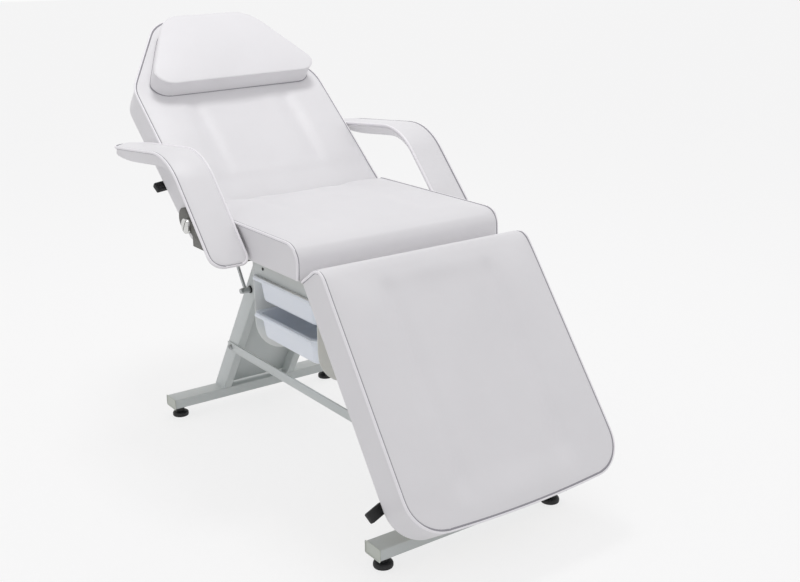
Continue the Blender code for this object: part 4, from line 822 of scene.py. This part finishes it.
# %% Grips
GROOVE = 0.0028
GROOVE_DEPTH = 0.0010
GRIPS = ("backrest_lever_grip", "leg_rest_lever_grip")
for name in GRIPS:
    piece = whole_copy(name)
    flat = max(piece.data.polygons, key=lambda face: face.area)
    normal = flat.normal.copy()
    corners = [piece.data.vertices[i].co.copy() for i in flat.vertices]
    runs = [b - a for a, b in zip(corners, corners[1:] + corners[:1])]
    across = normal.cross(max(runs, key=lambda run: run.length).normalized())
    centre = sum(corners, Vector()) / len(corners)
    for offset in (-GROOVE / 2, GROOVE / 2):
        select_all(piece)
        bpy.ops.mesh.bisect(plane_co=centre + across * offset, plane_no=across)

    def in_groove(points):
        """True for a face in the thin strip on the flat side."""
        gaps = [point - centre for point in points]
        return all(abs(g.dot(across)) < GROOVE / 2 + NEAR and abs(g.dot(normal)) < NEAR for g in gaps)

    pick(piece, "FACE", in_groove)
    bpy.ops.mesh.extrude_region_move(TRANSFORM_OT_translate={"value": normal * -GROOVE_DEPTH})
    settle(piece, f"grooved_{name}", body_of_node[name], "rubber", [name], smooth=40)
print("grips", len(GRIPS))

# %% [markdown]
# ## Trays
# Two bluish white trays slide in from the right. They are moulded with sloping walls, rounded
# corners, a stepped lip that hangs on the runners and a pull under the lip. The bowl is a cube that
# narrows downwards; after its corners are bevelled its open rim is extruded outwards and up in steps,
# and Solidify gives the wall.

# %% Trays
TRAY_WALL = 0.0022
TRAY_LIP = 0.012
TRAY_DRAFT = 0.008
TRAY_CORNER = 0.022
TRAY_FLOOR_ROUND = 0.010
LIP_STEP = 0.0016
LIP_DROP = TRAY_WALL / 9
PULL_DROP = 0.009
# Each step of the lip as shares of its reach and of its rise
LIP_STEPS = ((0.45, 0.0), (0.52, 1.0), (1.0, 1.0))
TRAYS = ("upper_tray", "lower_tray")
for name in TRAYS:
    low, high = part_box(name)
    middle = (low + high) / 2
    edge_z = high.z - LIP_STEP
    rim = Vector((high.x - TRAY_LIP, high.y - TRAY_LIP, 0)) - middle
    bowl_low = (low.x + TRAY_LIP, low.y + TRAY_LIP, low.z)
    piece = cube(bowl_low, (high.x - TRAY_LIP, high.y - TRAY_LIP, edge_z))
    for vert in piece.data.vertices:
        if vert.co.z < middle.z:
            vert.co.x -= math.copysign(TRAY_DRAFT, vert.co.x - middle.x)
            vert.co.y -= math.copysign(TRAY_DRAFT, vert.co.y - middle.y)
    round_edges(piece, TRAY_CORNER, lambda p: abs(p[1].z - p[0].z) > TRAY_DRAFT, segments=6)
    round_edges(piece, TRAY_FLOOR_ROUND, lambda p: all(abs(v.z - low.z) < NEAR for v in p))
    pick(piece, "FACE", lambda p: all(v.z > high.z - 2 * LIP_STEP for v in p))
    bpy.ops.mesh.delete(type="ONLY_FACE")
    for reach, rise in LIP_STEPS:
        # With nothing else picked, the edges of only one face are those of the open rim
        pick(piece, "EDGE", lambda p: False)
        bpy.ops.mesh.select_non_manifold(
            extend=False, use_wire=False, use_multi_face=False, use_verts=False
        )
        bpy.ops.mesh.extrude_region_move(TRANSFORM_OT_translate={"value": (0, 0, 0)})
        bpy.ops.object.mode_set(mode="OBJECT")
        outline = [v for v in piece.data.vertices if v.select]
        widest = max(abs(v.co.x - middle.x) for v in outline)
        deepest = max(abs(v.co.y - middle.y) for v in outline)
        for vert in outline:
            vert.co.x = middle.x + (vert.co.x - middle.x) * (rim.x + TRAY_LIP * reach) / widest
            vert.co.y = middle.y + (vert.co.y - middle.y) * (rim.y + TRAY_LIP * reach) / deepest
            vert.co.z = edge_z + LIP_STEP * rise - LIP_DROP
    face_outward(piece)
    bottom = min(piece.data.polygons, key=lambda face: face.center.z)
    if bottom.normal.z > 0:
        piece.data.flip_normals()
    modify(piece, "SOLIDIFY", thickness=TRAY_WALL, offset=-1.0, use_even_offset=True)
    ease_edges(piece, SMALL_EASE, angle=50)
    settle(piece, f"moulded_{name}", body_of_node[name], "tray_plastic", [name], smooth=40)
    pull_low = (low.x, low.y + TRAY_LIP, high.z - PULL_DROP)
    pull = cube(pull_low, (low.x + TRAY_WALL, high.y - TRAY_LIP, edge_z))
    ease_edges(pull, LIP_STEP / 2, segments=3)
    settle(pull, f"{name}_pull", body_of_node[name], "tray_plastic", smooth=40)
print("trays", len(TRAYS))

# %% [markdown]
# ## Cushions: a padded block
# A cushion is foam under a sewn cover. The cover is cut from panels, and where panels meet there
# is a seam that holds its line while the panels between swell. So each cushion starts as a cube cut
# into rows, bent to its outline, and then blown up gently by a cloth simulation that holds its seams
# and its underside. One subdivision smooths it.

# %% Helpers for cushions
PRESSURE = 4.0
CLOTH_FRAMES = 20
SEAM_ROW = 0.005
PIPING = 0.0034
PIPING_LIFT = 0.0009
# The second sewn line is a grey cord a little thicker than the piping and sunk under it; its edges show as painted
# shade along both sides of the piping.
SHADE_CORD = 0.0039
SHADE_CORD_LIFT = -0.0012
SEWN = [("edge", PIPING, PIPING_LIFT, "piping"), ("edge", SHADE_CORD, SHADE_CORD_LIFT, "tape")]


def rows(start, end, step):
    """Evenly spaced cuts from one place to another, about one step apart."""
    count = max(1, round(abs(end - start) / step))
    return [start + (end - start) * i / count for i in range(count)] + [end]


def widths(half, step, margin=4):
    """Cuts across a cushion, with a narrow row along the seam on each side."""
    cuts = rows(0, half - margin * SEAM_ROW, step) + [half - SEAM_ROW, half]
    return sorted({round(sign * cut, 6) for cut in cuts for sign in (-1, 1)})


def padded_block(x_cuts, y_cuts, z_cuts, form, **groups):
    """A cube cut into rows and moved by a form; each group keeps the points that pass its test."""
    cuts = [sorted(set(places)) for places in (x_cuts, y_cuts, z_cuts)]
    piece = cube([c[0] for c in cuts], [c[-1] for c in cuts])
    bpy.ops.object.mode_set(mode="EDIT")
    for axis, places in enumerate(cuts):
        normal = Vector((0, 0, 0))
        normal[axis] = 1.0
        for spot in places[1:-1]:
            bpy.ops.mesh.select_all(action="SELECT")
            bpy.ops.mesh.bisect(plane_co=normal * spot, plane_no=normal)
    bpy.ops.object.mode_set(mode="OBJECT")
    members = {name: [] for name in groups}
    for vert in piece.data.vertices:
        spot = [min(places, key=lambda place: abs(place - v)) for v, places in zip(vert.co, cuts)]
        for name, test in groups.items():
            if test(*spot):
                members[name].append(vert.index)
        vert.co = form(*spot)
    for name, indices in members.items():
        piece.vertex_groups.new(name=name).add(indices, 1.0, "REPLACE")
    face_outward(piece)
    return piece


def swell(piece, cap):
    """Blow a cushion up against its held points, moving no point further than a cap, and smooth it."""
    only(piece)
    before = [v.co.copy() for v in piece.data.vertices]
    bpy.ops.object.modifier_add(type="CLOTH")
    cloth = piece.modifiers[-1]
    cloth.settings.vertex_group_mass = "held"
    cloth.settings.use_pressure = True
    cloth.settings.uniform_pressure_force = PRESSURE
    cloth.settings.effector_weights.gravity = 0.0
    cloth.collision_settings.use_collision = False
    for step in range(1, CLOTH_FRAMES + 1):
        scene.frame_set(step)
    bpy.ops.object.modifier_apply(modifier=cloth.name)
    scene.frame_set(1)
    moves = [v.co - old for v, old in zip(piece.data.vertices, before)]
    for vert, old, move in zip(piece.data.vertices, before, moves):
        if move.length > 0:
            vert.co = old + move.normalized() * cap * math.tanh(move.length / cap)
    print("  swelled by", round(max(move.length for move in moves) * 1000, 1), "mm before the cap")
    modify(piece, "SUBSURF", levels=1, render_levels=1)
    for group in piece.vertex_groups:
        piece.vertex_groups.active_index = group.index
        bpy.ops.object.vertex_group_clean(group_select_mode="ACTIVE", limit=0.99)


def sewn_line(cushion, group, radius, lift):
    """A round cord along a seam: its edges are copied off, lifted, made a curve and given thickness."""
    only(cushion)
    bpy.ops.object.mode_set(mode="EDIT")
    bpy.ops.mesh.select_mode(type="VERT")
    bpy.ops.mesh.select_all(action="DESELECT")
    bpy.ops.object.vertex_group_set_active(group=group)
    bpy.ops.object.vertex_group_select()
    bpy.ops.mesh.duplicate()
    bpy.ops.mesh.separate(type="SELECTED")
    bpy.ops.object.mode_set(mode="OBJECT")
    line = next(o for o in bpy.context.selected_objects if o is not cushion)
    line.vertex_groups.clear()
    outward = {tuple(v.co): v.normal.copy() for v in cushion.data.vertices}
    for vert in line.data.vertices:
        vert.co += outward[tuple(vert.co)] * lift
    select_all(line)
    bpy.ops.mesh.delete(type="ONLY_FACE")
    bpy.ops.object.mode_set(mode="OBJECT")
    bpy.ops.object.convert(target="CURVE")
    line.data.bevel_depth = radius
    line.data.bevel_resolution = 3
    line.data.use_fill_caps = True
    bpy.ops.object.convert(target="MESH")
    return line


def upholster(piece, name, body, node_name, lines, place=(0, 0, 0), tilt=0.0):
    cords = [(sewn_line(piece, group, radius, lift), slot) for group, radius, lift, slot in lines]
    for part in [piece] + [cord for cord, slot in cords]:
        part.location = place
        part.rotation_euler = (tilt, 0, 0)
    settle(piece, name, body, "vinyl", [node_name], smooth=60)
    for cord, slot in cords:
        settle(cord, f"{name}_{slot}", body, slot, smooth=60)
    print(name, len(piece.data.polygons), "faces,", len(cords), "sewn lines")


print("piping radius", PIPING, "tape radius", SHADE_CORD)

# %% [markdown]
# ### Outlines
# A few small formulas shape all the cushions: how far an outline draws in at a round corner, how a
# square corner of the side view bends into a round nose, and how a panel's surface rises and falls
# across its width, with a dished middle between two soft creases and a bolster at each side.

# %% Formulas for outlines
ROW = 0.016
BAND_ROW = 0.014
NOSE_ROWS = 4
HALF_WIDTH = 0.290
SIDE_DRAW = 0.003
CREASE = 0.142
CREASE_DEPTH = 0.008
CREASE_WIDTH = 0.022
DISH = 0.007
BOLSTER = 0.004


def draw_in(distance, radius):
    """How far an outline draws in at a distance from its end, for a round corner."""
    if distance >= radius:
        return 0.0
    return radius - math.sqrt(max(radius**2 - (radius - distance) ** 2, 0.0))


def corner_rows(end, radius, inward, count=6):
    """Cuts that follow a round corner evenly from an end inward."""
    return [end + inward * radius * (1 - math.cos(math.pi / 2 * i / count)) for i in range(count + 1)]


def round_nose(a, b, radius):
    """Bend the square corner of a side view to a radius; a and b are the depths below its two faces."""
    u = 1 - a / radius
    v = 1 - b / radius
    if u <= 0 or v <= 0:
        return a, b
    reach = max(u, v)
    turn = math.pi / 4 * min(u, v) / reach
    far, near = reach * math.cos(turn), reach * math.sin(turn)
    u, v = (far, near) if u >= v else (near, far)
    return radius * (1 - u), radius * (1 - v)


def panel(x):
    """Height of a panel's surface across its width."""
    offset = abs(x) - CREASE
    groove = -CREASE_DEPTH * math.exp(-((offset / CREASE_WIDTH) ** 2))
    if offset < 0:
        return groove - DISH * (1 - (x / CREASE) ** 2)
    return groove + BOLSTER * math.sin(math.pi * min(offset / (HALF_WIDTH - CREASE), 1.0))


def ease(value, start, end):
    """A smooth step from 0 at the start to 1 at the end."""
    share = min(max((value - start) / (end - start), 0.0), 1.0)
    return share * share * (3 - 2 * share)


def side_draw(x, share):
    """How far a side band draws in at a share of its height."""
    return math.copysign(SIDE_DRAW, x) * math.sin(math.pi * share)


def rim_at(level, half, ends):
    """A test for the points round the edge of a panel at one height."""
    return lambda x, y, z: z == level and (abs(x) == half or y in ends)


print("half width", HALF_WIDTH, "creases at", CREASE)

# %% [markdown]
# ### The seat
# The seat is a thick slab whose top panel runs over its front edge and down, like a waterfall. The
# side panels are sewn in with piping that follows the top edge, rounds the front corner and drops. The
# seam lies a little behind the front panel, so the leg rest's piping has room when it swings up level.
# Its rear face leans so that the raised backrest lies along it.

# %% The seat
KNEE_DROP = 0.0025
KNEE_GAP = 0.007
SEAT_BASE = KNEE_PIVOT.z + KNEE_DROP
SEAT_FRONT = KNEE_PIVOT.y + KNEE_GAP
SEAT_THICK = 0.083
SEAT_TOP = SEAT_BASE + SEAT_THICK
SEAT_CROWN = 0.010
CROWN_FLAT = 4
CROWN_RISE = 0.7
SEAT_NOSE = 0.040
SEAT_PANEL = 0.5
SEAT_FADE = 0.09
SEAM_SINK = 0.0045
BACK_HALF = 0.042
SOFT_GAP = 0.0025


def seat_rear(height):
    """Where the seat's rear face lies at one height."""
    reach = BACK_HALF + SOFT_GAP
    touch = BACK_PIVOT + reach * Vector((0, -math.sin(BACK_LIMIT), math.cos(BACK_LIMIT)))
    return touch.y + (height - touch.z) / math.tan(BACK_LIMIT)


SEAT_REAR = seat_rear(SEAT_BASE)
SEAT_LENGTH = SEAT_REAR - SEAT_FRONT


def seat_form(x, y, z):
    """Where a point of the seat's block goes."""
    side = abs(x) == HALF_WIDTH
    deep, under = round_nose(y - SEAT_FRONT, SEAT_TOP - z, SEAT_NOSE)
    height = SEAT_TOP - under
    share = deep / SEAT_LENGTH
    if z == SEAT_TOP:
        crown = (1 - (x / HALF_WIDTH) ** CROWN_FLAT) * math.sin(math.pi * min(share, 1.0)) ** CROWN_RISE
        height += SEAT_CROWN * crown
        height += SEAT_PANEL * panel(x) * ease(deep, SEAT_NOSE, SEAT_NOSE + SEAT_FADE)
    if side:
        x -= side_draw(x, (z - SEAT_BASE) / SEAT_THICK)
    sunk = SEAM_SINK if side and y == SEAT_FRONT else 0.0
    return x, SEAT_FRONT + sunk + share * (seat_rear(height) - SEAT_FRONT), height


nose_end = SEAT_FRONT + SEAT_NOSE
nose_base = SEAT_TOP - SEAT_NOSE
y_cuts = rows(SEAT_FRONT, nose_end, SEAT_NOSE / NOSE_ROWS) + rows(nose_end, SEAT_REAR, ROW)[1:]
z_cuts = rows(SEAT_BASE, nose_base, BAND_ROW) + rows(nose_base, SEAT_TOP, SEAT_NOSE / NOSE_ROWS)[1:]
seat = padded_block(
    widths(HALF_WIDTH, ROW),
    y_cuts,
    z_cuts,
    seat_form,
    held=lambda x, y, z: abs(x) == HALF_WIDTH or z == SEAT_BASE or y in (SEAT_FRONT, SEAT_REAR),
    edge=lambda x, y, z: abs(x) == HALF_WIDTH and (z == SEAT_TOP or y == SEAT_FRONT),
)
swell(seat, cap=0.006)
upholster(seat, "seat_upholstery", "root", "seat_cushion", SEWN)

# %% [markdown]
# ### The backrest
# The backrest is parallel up to the shoulders and then tapers to a rounded head end. Two soft creases
# run up it and fade out under the pillow. Its lower end is flat, so that it can lie along the seat, and
# rounded like a roll, so that it can turn. Piping follows the front panel's sides and head end.

# %% The backrest
BACK_LENGTH = 0.695
SHOULDER = 0.446
SHOULDER_EASE = 0.024
HEAD_HALF = 0.133
HEAD_CORNER = 0.045
HEEL_ROWS = 7
HEEL_END = 0.995
PILLOW_START = 0.413
BACK_FLAT = 0.10
CREASE_START = 0.08
CREASE_FULL = 0.15
CREASE_FADE = 0.05


def back_half(y):
    """Half width of the backrest at a distance from its axis."""
    slope = (HALF_WIDTH - HEAD_HALF) / (BACK_LENGTH - SHOULDER)
    past = y - SHOULDER
    if abs(past) < SHOULDER_EASE:
        past = (past + SHOULDER_EASE) ** 2 / (4 * SHOULDER_EASE)
    return HALF_WIDTH - slope * max(past, 0.0) - draw_in(BACK_LENGTH - y, HEAD_CORNER)


def back_form(x, y, z):
    """Where a point of the backrest's block goes."""
    rise = 0.0
    if z == BACK_HALF:
        fade = 1 - ease(y, PILLOW_START - CREASE_FADE, PILLOW_START)
        rise = panel(x) * fade * ease(y, CREASE_START, CREASE_FULL)
    side = abs(x) == HALF_WIDTH
    roll = math.sqrt(max(BACK_HALF**2 - min(y, 0.0) ** 2, 0.0)) / BACK_HALF
    x *= back_half(y) / HALF_WIDTH
    if side:
        x -= side_draw(x, (z + BACK_HALF) / (2 * BACK_HALF))
    return x, y, z * roll + rise


def back_held(x, y, z):
    """True for the back and sides, the head end, and the parts beside the seat and under the pillow."""
    return z != BACK_HALF or abs(x) == HALF_WIDTH or not BACK_FLAT <= y <= PILLOW_START


y_cuts = [-BACK_HALF * math.cos(math.pi / 2 * i / HEEL_ROWS) for i in range(1, HEEL_ROWS)]
y_cuts += rows(0.0, BACK_LENGTH - HEAD_CORNER, ROW) + [-BACK_HALF * HEEL_END]
y_cuts += corner_rows(BACK_LENGTH, HEAD_CORNER, -1)[:-1]
back = padded_block(
    widths(HALF_WIDTH, ROW),
    y_cuts,
    rows(-BACK_HALF, BACK_HALF, BAND_ROW),
    back_form,
    held=back_held,
    edge=rim_at(BACK_HALF, HALF_WIDTH, [BACK_LENGTH]),
)
swell(back, cap=0.005)
upholster(
    back, "backrest_upholstery", "backrest", "backrest_cushion", SEWN, place=BACK_PIVOT, tilt=BACK_ANGLE
)

# %% [markdown]
# ### The pillow
# The head pillow is a wedge-shaped pad, wide toward the seat and narrow toward the head end, lying a little askew
# on the backrest. It has no piping: its top panel is folded under at the edge in a fine self seam. A thin grey
# cord along the edge of its underside is painted shadow where the pillow meets the backrest. All round, its band
# stands nearly upright with soft round corners.

# %% The pillow
PILLOW_LENGTH = 0.250
PILLOW_WIDE = 0.252
PILLOW_NARROW = 0.137
PILLOW_SHIFT = 0.006
PILLOW_TURN = math.radians(2.0)
PILLOW_LIFT = 0.0006
PILLOW_BASE = BACK_HALF + PILLOW_LIFT
PILLOW_THICK = 0.054
PILLOW_TOP = PILLOW_BASE + PILLOW_THICK
PILLOW_CROWN = 0.004
PILLOW_CORNER = 0.045
PILLOW_END = PILLOW_START + PILLOW_LENGTH
PILLOW_MIDDLE = (PILLOW_START + PILLOW_END) / 2
PILLOW_ROW = 0.013
PILLOW_BAND = 0.011
WELT = 0.0016
# The second line is a grey cord round the underside's edge: painted contact shadow against the backrest.
FOLD = [("edge", WELT, 0.0, "vinyl"), ("sole", WELT, 0.0, "tape")]


def pillow_form(x, y, z):
    """Where a point of the pillow's block goes."""
    share = max(y - PILLOW_START - PILLOW_CORNER, 0.0) / (PILLOW_LENGTH - PILLOW_CORNER)
    half = PILLOW_WIDE + share * (PILLOW_NARROW - PILLOW_WIDE)
    half -= draw_in(y - PILLOW_START, PILLOW_CORNER) + draw_in(PILLOW_END - y, PILLOW_CORNER)
    side = abs(x) == PILLOW_WIDE
    height = (z - PILLOW_BASE) / PILLOW_THICK
    middle = math.cos(math.pi / 2 * min(abs(x) / PILLOW_WIDE, 1.0))
    x *= half / PILLOW_WIDE
    if z == PILLOW_TOP:
        z += PILLOW_CROWN * middle * math.sin(math.pi * (y - PILLOW_START) / PILLOW_LENGTH)
    if side:
        x -= side_draw(x, height)
    along = y - PILLOW_MIDDLE
    across = x * math.cos(PILLOW_TURN) - along * math.sin(PILLOW_TURN)
    along = x * math.sin(PILLOW_TURN) + along * math.cos(PILLOW_TURN)
    return across + PILLOW_SHIFT, along + PILLOW_MIDDLE, z


y_cuts = corner_rows(PILLOW_START, PILLOW_CORNER, 1) + corner_rows(PILLOW_END, PILLOW_CORNER, -1)
y_cuts += rows(PILLOW_START + PILLOW_CORNER, PILLOW_END - PILLOW_CORNER, PILLOW_ROW)[1:-1]
pillow_rim = rim_at(PILLOW_TOP, PILLOW_WIDE, [PILLOW_START, PILLOW_END])
pillow = padded_block(
    widths(PILLOW_WIDE, PILLOW_ROW),
    y_cuts,
    rows(PILLOW_BASE, PILLOW_TOP, PILLOW_BAND),
    pillow_form,
    held=lambda x, y, z: z == PILLOW_BASE or pillow_rim(x, y, z),
    edge=pillow_rim,
    sole=rim_at(PILLOW_BASE, PILLOW_WIDE, [PILLOW_START, PILLOW_END]),
)
swell(pillow, cap=0.005)
upholster(
    pillow, "pillow_upholstery", "backrest", "pillow", FOLD, place=BACK_PIVOT, tilt=BACK_ANGLE
)

# %% [markdown]
# ### The leg rest
# The leg rest hangs from the knee axis. Its top panel rolls over the knee end like the seat's front,
# and its foot end is bowed and rounded in plan. Piping outlines the side panels from the knee, down
# the sides and round the foot. The same two soft creases run along it.

# %% The leg rest
LEG_LENGTH = 0.6231
LEG_LIFT = 0.0088
LEG_THICK = 0.094
LEG_FLARE = 0.007
LEG_PANEL = 1.4
FOOT_CORNER = 0.086
FOOT_BOW = 0.007
FOOT_FADE = 0.15
KNEE_NOSE = 0.040
KNEE_START = 0.0045
PLAIN_END = 0.03
FOOT_CREASE = 0.11
KNEE_CREASE = 0.10
LEG_END = KNEE_START - LEG_LENGTH
LEG_TOP = LEG_LIFT + LEG_THICK


def leg_form(x, y, z):
    """Where a point of the leg rest's block goes."""
    side = abs(x) == HALF_WIDTH
    fade = ease(y, LEG_END + PLAIN_END, LEG_END + FOOT_CREASE)
    fade *= 1 - ease(y, KNEE_START - KNEE_CREASE, KNEE_START - PLAIN_END)
    rise = LEG_PANEL * panel(x) * fade if z == LEG_TOP else 0.0
    bow = FOOT_BOW * (x / HALF_WIDTH) ** 2 * ease(y, LEG_END + FOOT_FADE, LEG_END)
    flare = LEG_FLARE * (KNEE_START - y) / LEG_LENGTH
    x *= 1 + (flare - draw_in(y - LEG_END, FOOT_CORNER)) / HALF_WIDTH
    if side:
        x -= side_draw(x, (z - LEG_LIFT) / LEG_THICK)
    deep, under = round_nose(KNEE_START - y, LEG_TOP - z, KNEE_NOSE)
    sunk = SEAM_SINK if side and y == KNEE_START else 0.0
    return x, KNEE_START - deep - sunk + bow, LEG_TOP - under + rise


def leg_edge(x, y, z):
    """True along the sides of the top panel, round its foot end and down the knee end's sides."""
    side = abs(x) == HALF_WIDTH
    return (side and (z == LEG_TOP or y == KNEE_START)) or (y == LEG_END and z == LEG_TOP)


nose_end = KNEE_START - KNEE_NOSE
nose_base = LEG_TOP - KNEE_NOSE
y_cuts = corner_rows(LEG_END, FOOT_CORNER, 1, count=8)
y_cuts += rows(LEG_END + FOOT_CORNER, nose_end, ROW)[1:]
y_cuts += rows(nose_end, KNEE_START, KNEE_NOSE / NOSE_ROWS)[1:]
z_cuts = rows(LEG_LIFT, nose_base, BAND_ROW) + rows(nose_base, LEG_TOP, KNEE_NOSE / NOSE_ROWS)[1:]
leg = padded_block(
    widths(HALF_WIDTH, ROW),
    y_cuts,
    z_cuts,
    leg_form,
    held=lambda x, y, z: abs(x) == HALF_WIDTH or z == LEG_LIFT or y in (LEG_END, KNEE_START),
    edge=leg_edge,
)
swell(leg, cap=0.005)
upholster(
    leg, "leg_rest_upholstery", "leg_rest", "leg_rest_cushion", SEWN, place=KNEE_PIVOT, tilt=LEG_ANGLE
)

# %% [markdown]
# ### Armrests
# An armrest pad runs level from its pointed rear tip, bends, and slopes down toward the knees. It is
# drawn straight and then bent along that line: each row of points takes its place and its upward
# direction from the line at its own distance. Underneath, the foam is cut away toward the edges,
# except along the outer side of the level part, where the full depth shows, and the rear tip thins
# Piping follows the top panel, and along its outer side a grey cord sunk under it shows as painted shade in the
# seam's fold.

# %% Armrests
ARM_HALF = 0.0483
ARM_CENTRE = 0.056
ARM_THICK = 0.032
ARM_EDGE = 0.009
ARM_CHAMFER = 0.023
ARM_CROWN = 0.006
ARM_AHEAD = 0.103
ARM_HEIGHT = 0.210
ARM_CORNER = Vector((BACK_PIVOT.y - ARM_AHEAD, BACK_PIVOT.z + ARM_HEIGHT))
ARM_FRONT = 0.324
ARM_REAR = 0.357
ARM_FRONT_SLOPE = math.radians(47)
ARM_REAR_SLOPE = math.radians(4.6)
ARM_BEND = 0.170
ARM_REAR_ROUND = 0.047
ARM_FRONT_ROUND = 0.034
ARM_INNER_ROUND = 0.022
ARM_TIP = 0.003
ARM_TIP_START = 0.012
ARM_TIP_TAPER = 0.150
ARM_ROW = 0.010
ARM_BAND = 0.0085
ARM_TURN = ARM_FRONT_SLOPE + ARM_REAR_SLOPE
ARM_TANGENT = ARM_BEND * math.tan(ARM_TURN / 2)
ARM_REAR_RUN = ARM_REAR - ARM_TANGENT
ARM_LENGTH = ARM_REAR_RUN + ARM_BEND * ARM_TURN + ARM_FRONT - ARM_TANGENT
# On the outer side the grey cord sunk under the piping shows as painted shade in the seam's fold.
ARM_SEWN = [("edge", PIPING, PIPING_LIFT, "piping"), ("outer", SHADE_CORD, SHADE_CORD_LIFT, "tape")]


def arm_line(distance):
    """A point on the pad's top line and its upward direction, from the rear tip forward."""
    rear = Vector((-math.cos(ARM_REAR_SLOPE), math.sin(ARM_REAR_SLOPE)))
    front = Vector((-math.cos(ARM_FRONT_SLOPE), -math.sin(ARM_FRONT_SLOPE)))
    rear_up = Vector((rear.y, -rear.x))
    turned_by = (distance - ARM_REAR_RUN) / ARM_BEND
    if turned_by <= 0:
        return ARM_CORNER - rear * (ARM_REAR - distance), rear_up
    if turned_by < ARM_TURN:
        up = Matrix.Rotation(turned_by, 2) @ rear_up
        return ARM_CORNER - rear * ARM_TANGENT - rear_up * ARM_BEND + up * ARM_BEND, up
    return ARM_CORNER + front * (distance - ARM_LENGTH + ARM_FRONT), Vector((front.y, -front.x))


def arm_depth(distance, inset, outer):
    """How deep the pad is at a distance from its rear tip and an inset from its side."""
    share = ease(inset, 0.0, ARM_CHAMFER)
    if outer:
        share = max(share, 1 - ease(distance, ARM_REAR_RUN, ARM_REAR_RUN + ARM_BEND * ARM_TURN))
    share *= ease(ARM_LENGTH - distance, 0.0, ARM_CHAMFER)
    full = ARM_EDGE + (ARM_THICK - ARM_EDGE) * share
    past = min(max((distance - ARM_TIP_START) / ARM_TIP_TAPER, 0.0), 1.0)
    return ARM_TIP + (full - ARM_TIP) * math.sqrt(1 - (1 - past) ** 2)


def arm_form(out):
    """The form of the pad whose outer side looks one way along X."""

    def form(x, y, z):
        point, up = arm_line(y)
        crown = ARM_CROWN * (1 - (x / ARM_HALF) ** 2) if z == 0.0 and 0 < y < ARM_LENGTH else 0.0
        front_round = ARM_FRONT_ROUND if x * out > 0 else ARM_INNER_ROUND
        half = ARM_HALF - draw_in(y, ARM_REAR_ROUND) - draw_in(ARM_LENGTH - y, front_round)
        moved = x * half / ARM_HALF
        depth = arm_depth(y, half - abs(moved), x * out > 0) * -z / ARM_THICK
        if abs(x) == ARM_HALF:
            moved -= side_draw(x, -z / ARM_THICK)
        spot = point + up * (crown - depth)
        return moved, spot.x, spot.y

    return form


y_cuts = corner_rows(0.0, ARM_REAR_ROUND, 1, count=7) + corner_rows(ARM_LENGTH, ARM_FRONT_ROUND, -1)
y_cuts += rows(ARM_REAR_ROUND, ARM_LENGTH - ARM_FRONT_ROUND, ARM_ROW)[1:-1]
arm_rim = rim_at(0.0, ARM_HALF, [0.0, ARM_LENGTH])
for side, out in SIDES.items():
    pad = padded_block(
        widths(ARM_HALF, ARM_ROW, margin=2),
        y_cuts,
        rows(-ARM_THICK, 0.0, ARM_BAND),
        arm_form(out),
        held=lambda x, y, z: z != 0.0 or arm_rim(x, y, z),
        edge=arm_rim,
        outer=lambda x, y, z: z == 0.0 and (x == out * ARM_HALF or y == ARM_LENGTH),
    )
    swell(pad, cap=0.004)
    middle = (out * (HALF_WIDTH + ARM_CENTRE), 0, 0)
    name = f"armrest_upholstery_{side}"
    upholster(pad, name, "root", f"armrest_pad_{side}", ARM_SEWN, place=middle)

# %% [markdown]
# ## The floor
# A sheet of white studio paper lies under the couch. It is a plane with a very faint fibre texture,
# large enough that its edge is never in view. Like the room, it looks brighter than it lights: a share
# of plain white is mixed in for camera and mirror rays only, and the rest keeps the couch's shadow.

# %% The floor
FIBRE = 0.02
PAPER_SIZE = 60.0
PAPER_GLOW = 0.75
only(None)
bpy.ops.mesh.primitive_plane_add(size=PAPER_SIZE, location=(0, 0, 0))
floor = bpy.context.object
floor.name = "studio_paper"
tree, shader, place = finish("paper", "studio_paper", "#F0F0F0", 0.9)
fibres = node(tree, "ShaderNodeTexNoise", {"Vector": place}, {"Scale": 1 / FIBRE, "Detail": 3.0})
surface(tree, shader, fibres.outputs["Fac"], ("#EFEFEF", "#F2F2F2"))
glow = node(tree, "ShaderNodeEmission", sockets={"Color": linear("#FFFFFF"), "Strength": 1.0})
share = node(tree, "ShaderNodeMath", {0: looked_at(tree)}, {1: PAPER_GLOW}, operation="MULTIPLY")
paper = node(
    tree, "ShaderNodeMixShader", {"Fac": share.outputs[0], 1: shader.outputs[0], 2: glow.outputs[0]}
)
tree.links.new(paper.outputs[0], tree.nodes["Material Output"].inputs["Surface"])
floor.data.materials.append(finishes["paper"])
floor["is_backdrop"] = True
print("floor", PAPER_SIZE, "m wide")

# %% [markdown]
# ## The finished size
# The box of the finished couch is printed, so that a glance shows whether a cover stands too far proud.

# %% Sizes and finish
low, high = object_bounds()
print("visual box", [round(b - a, 4) for a, b in zip(low, high)])
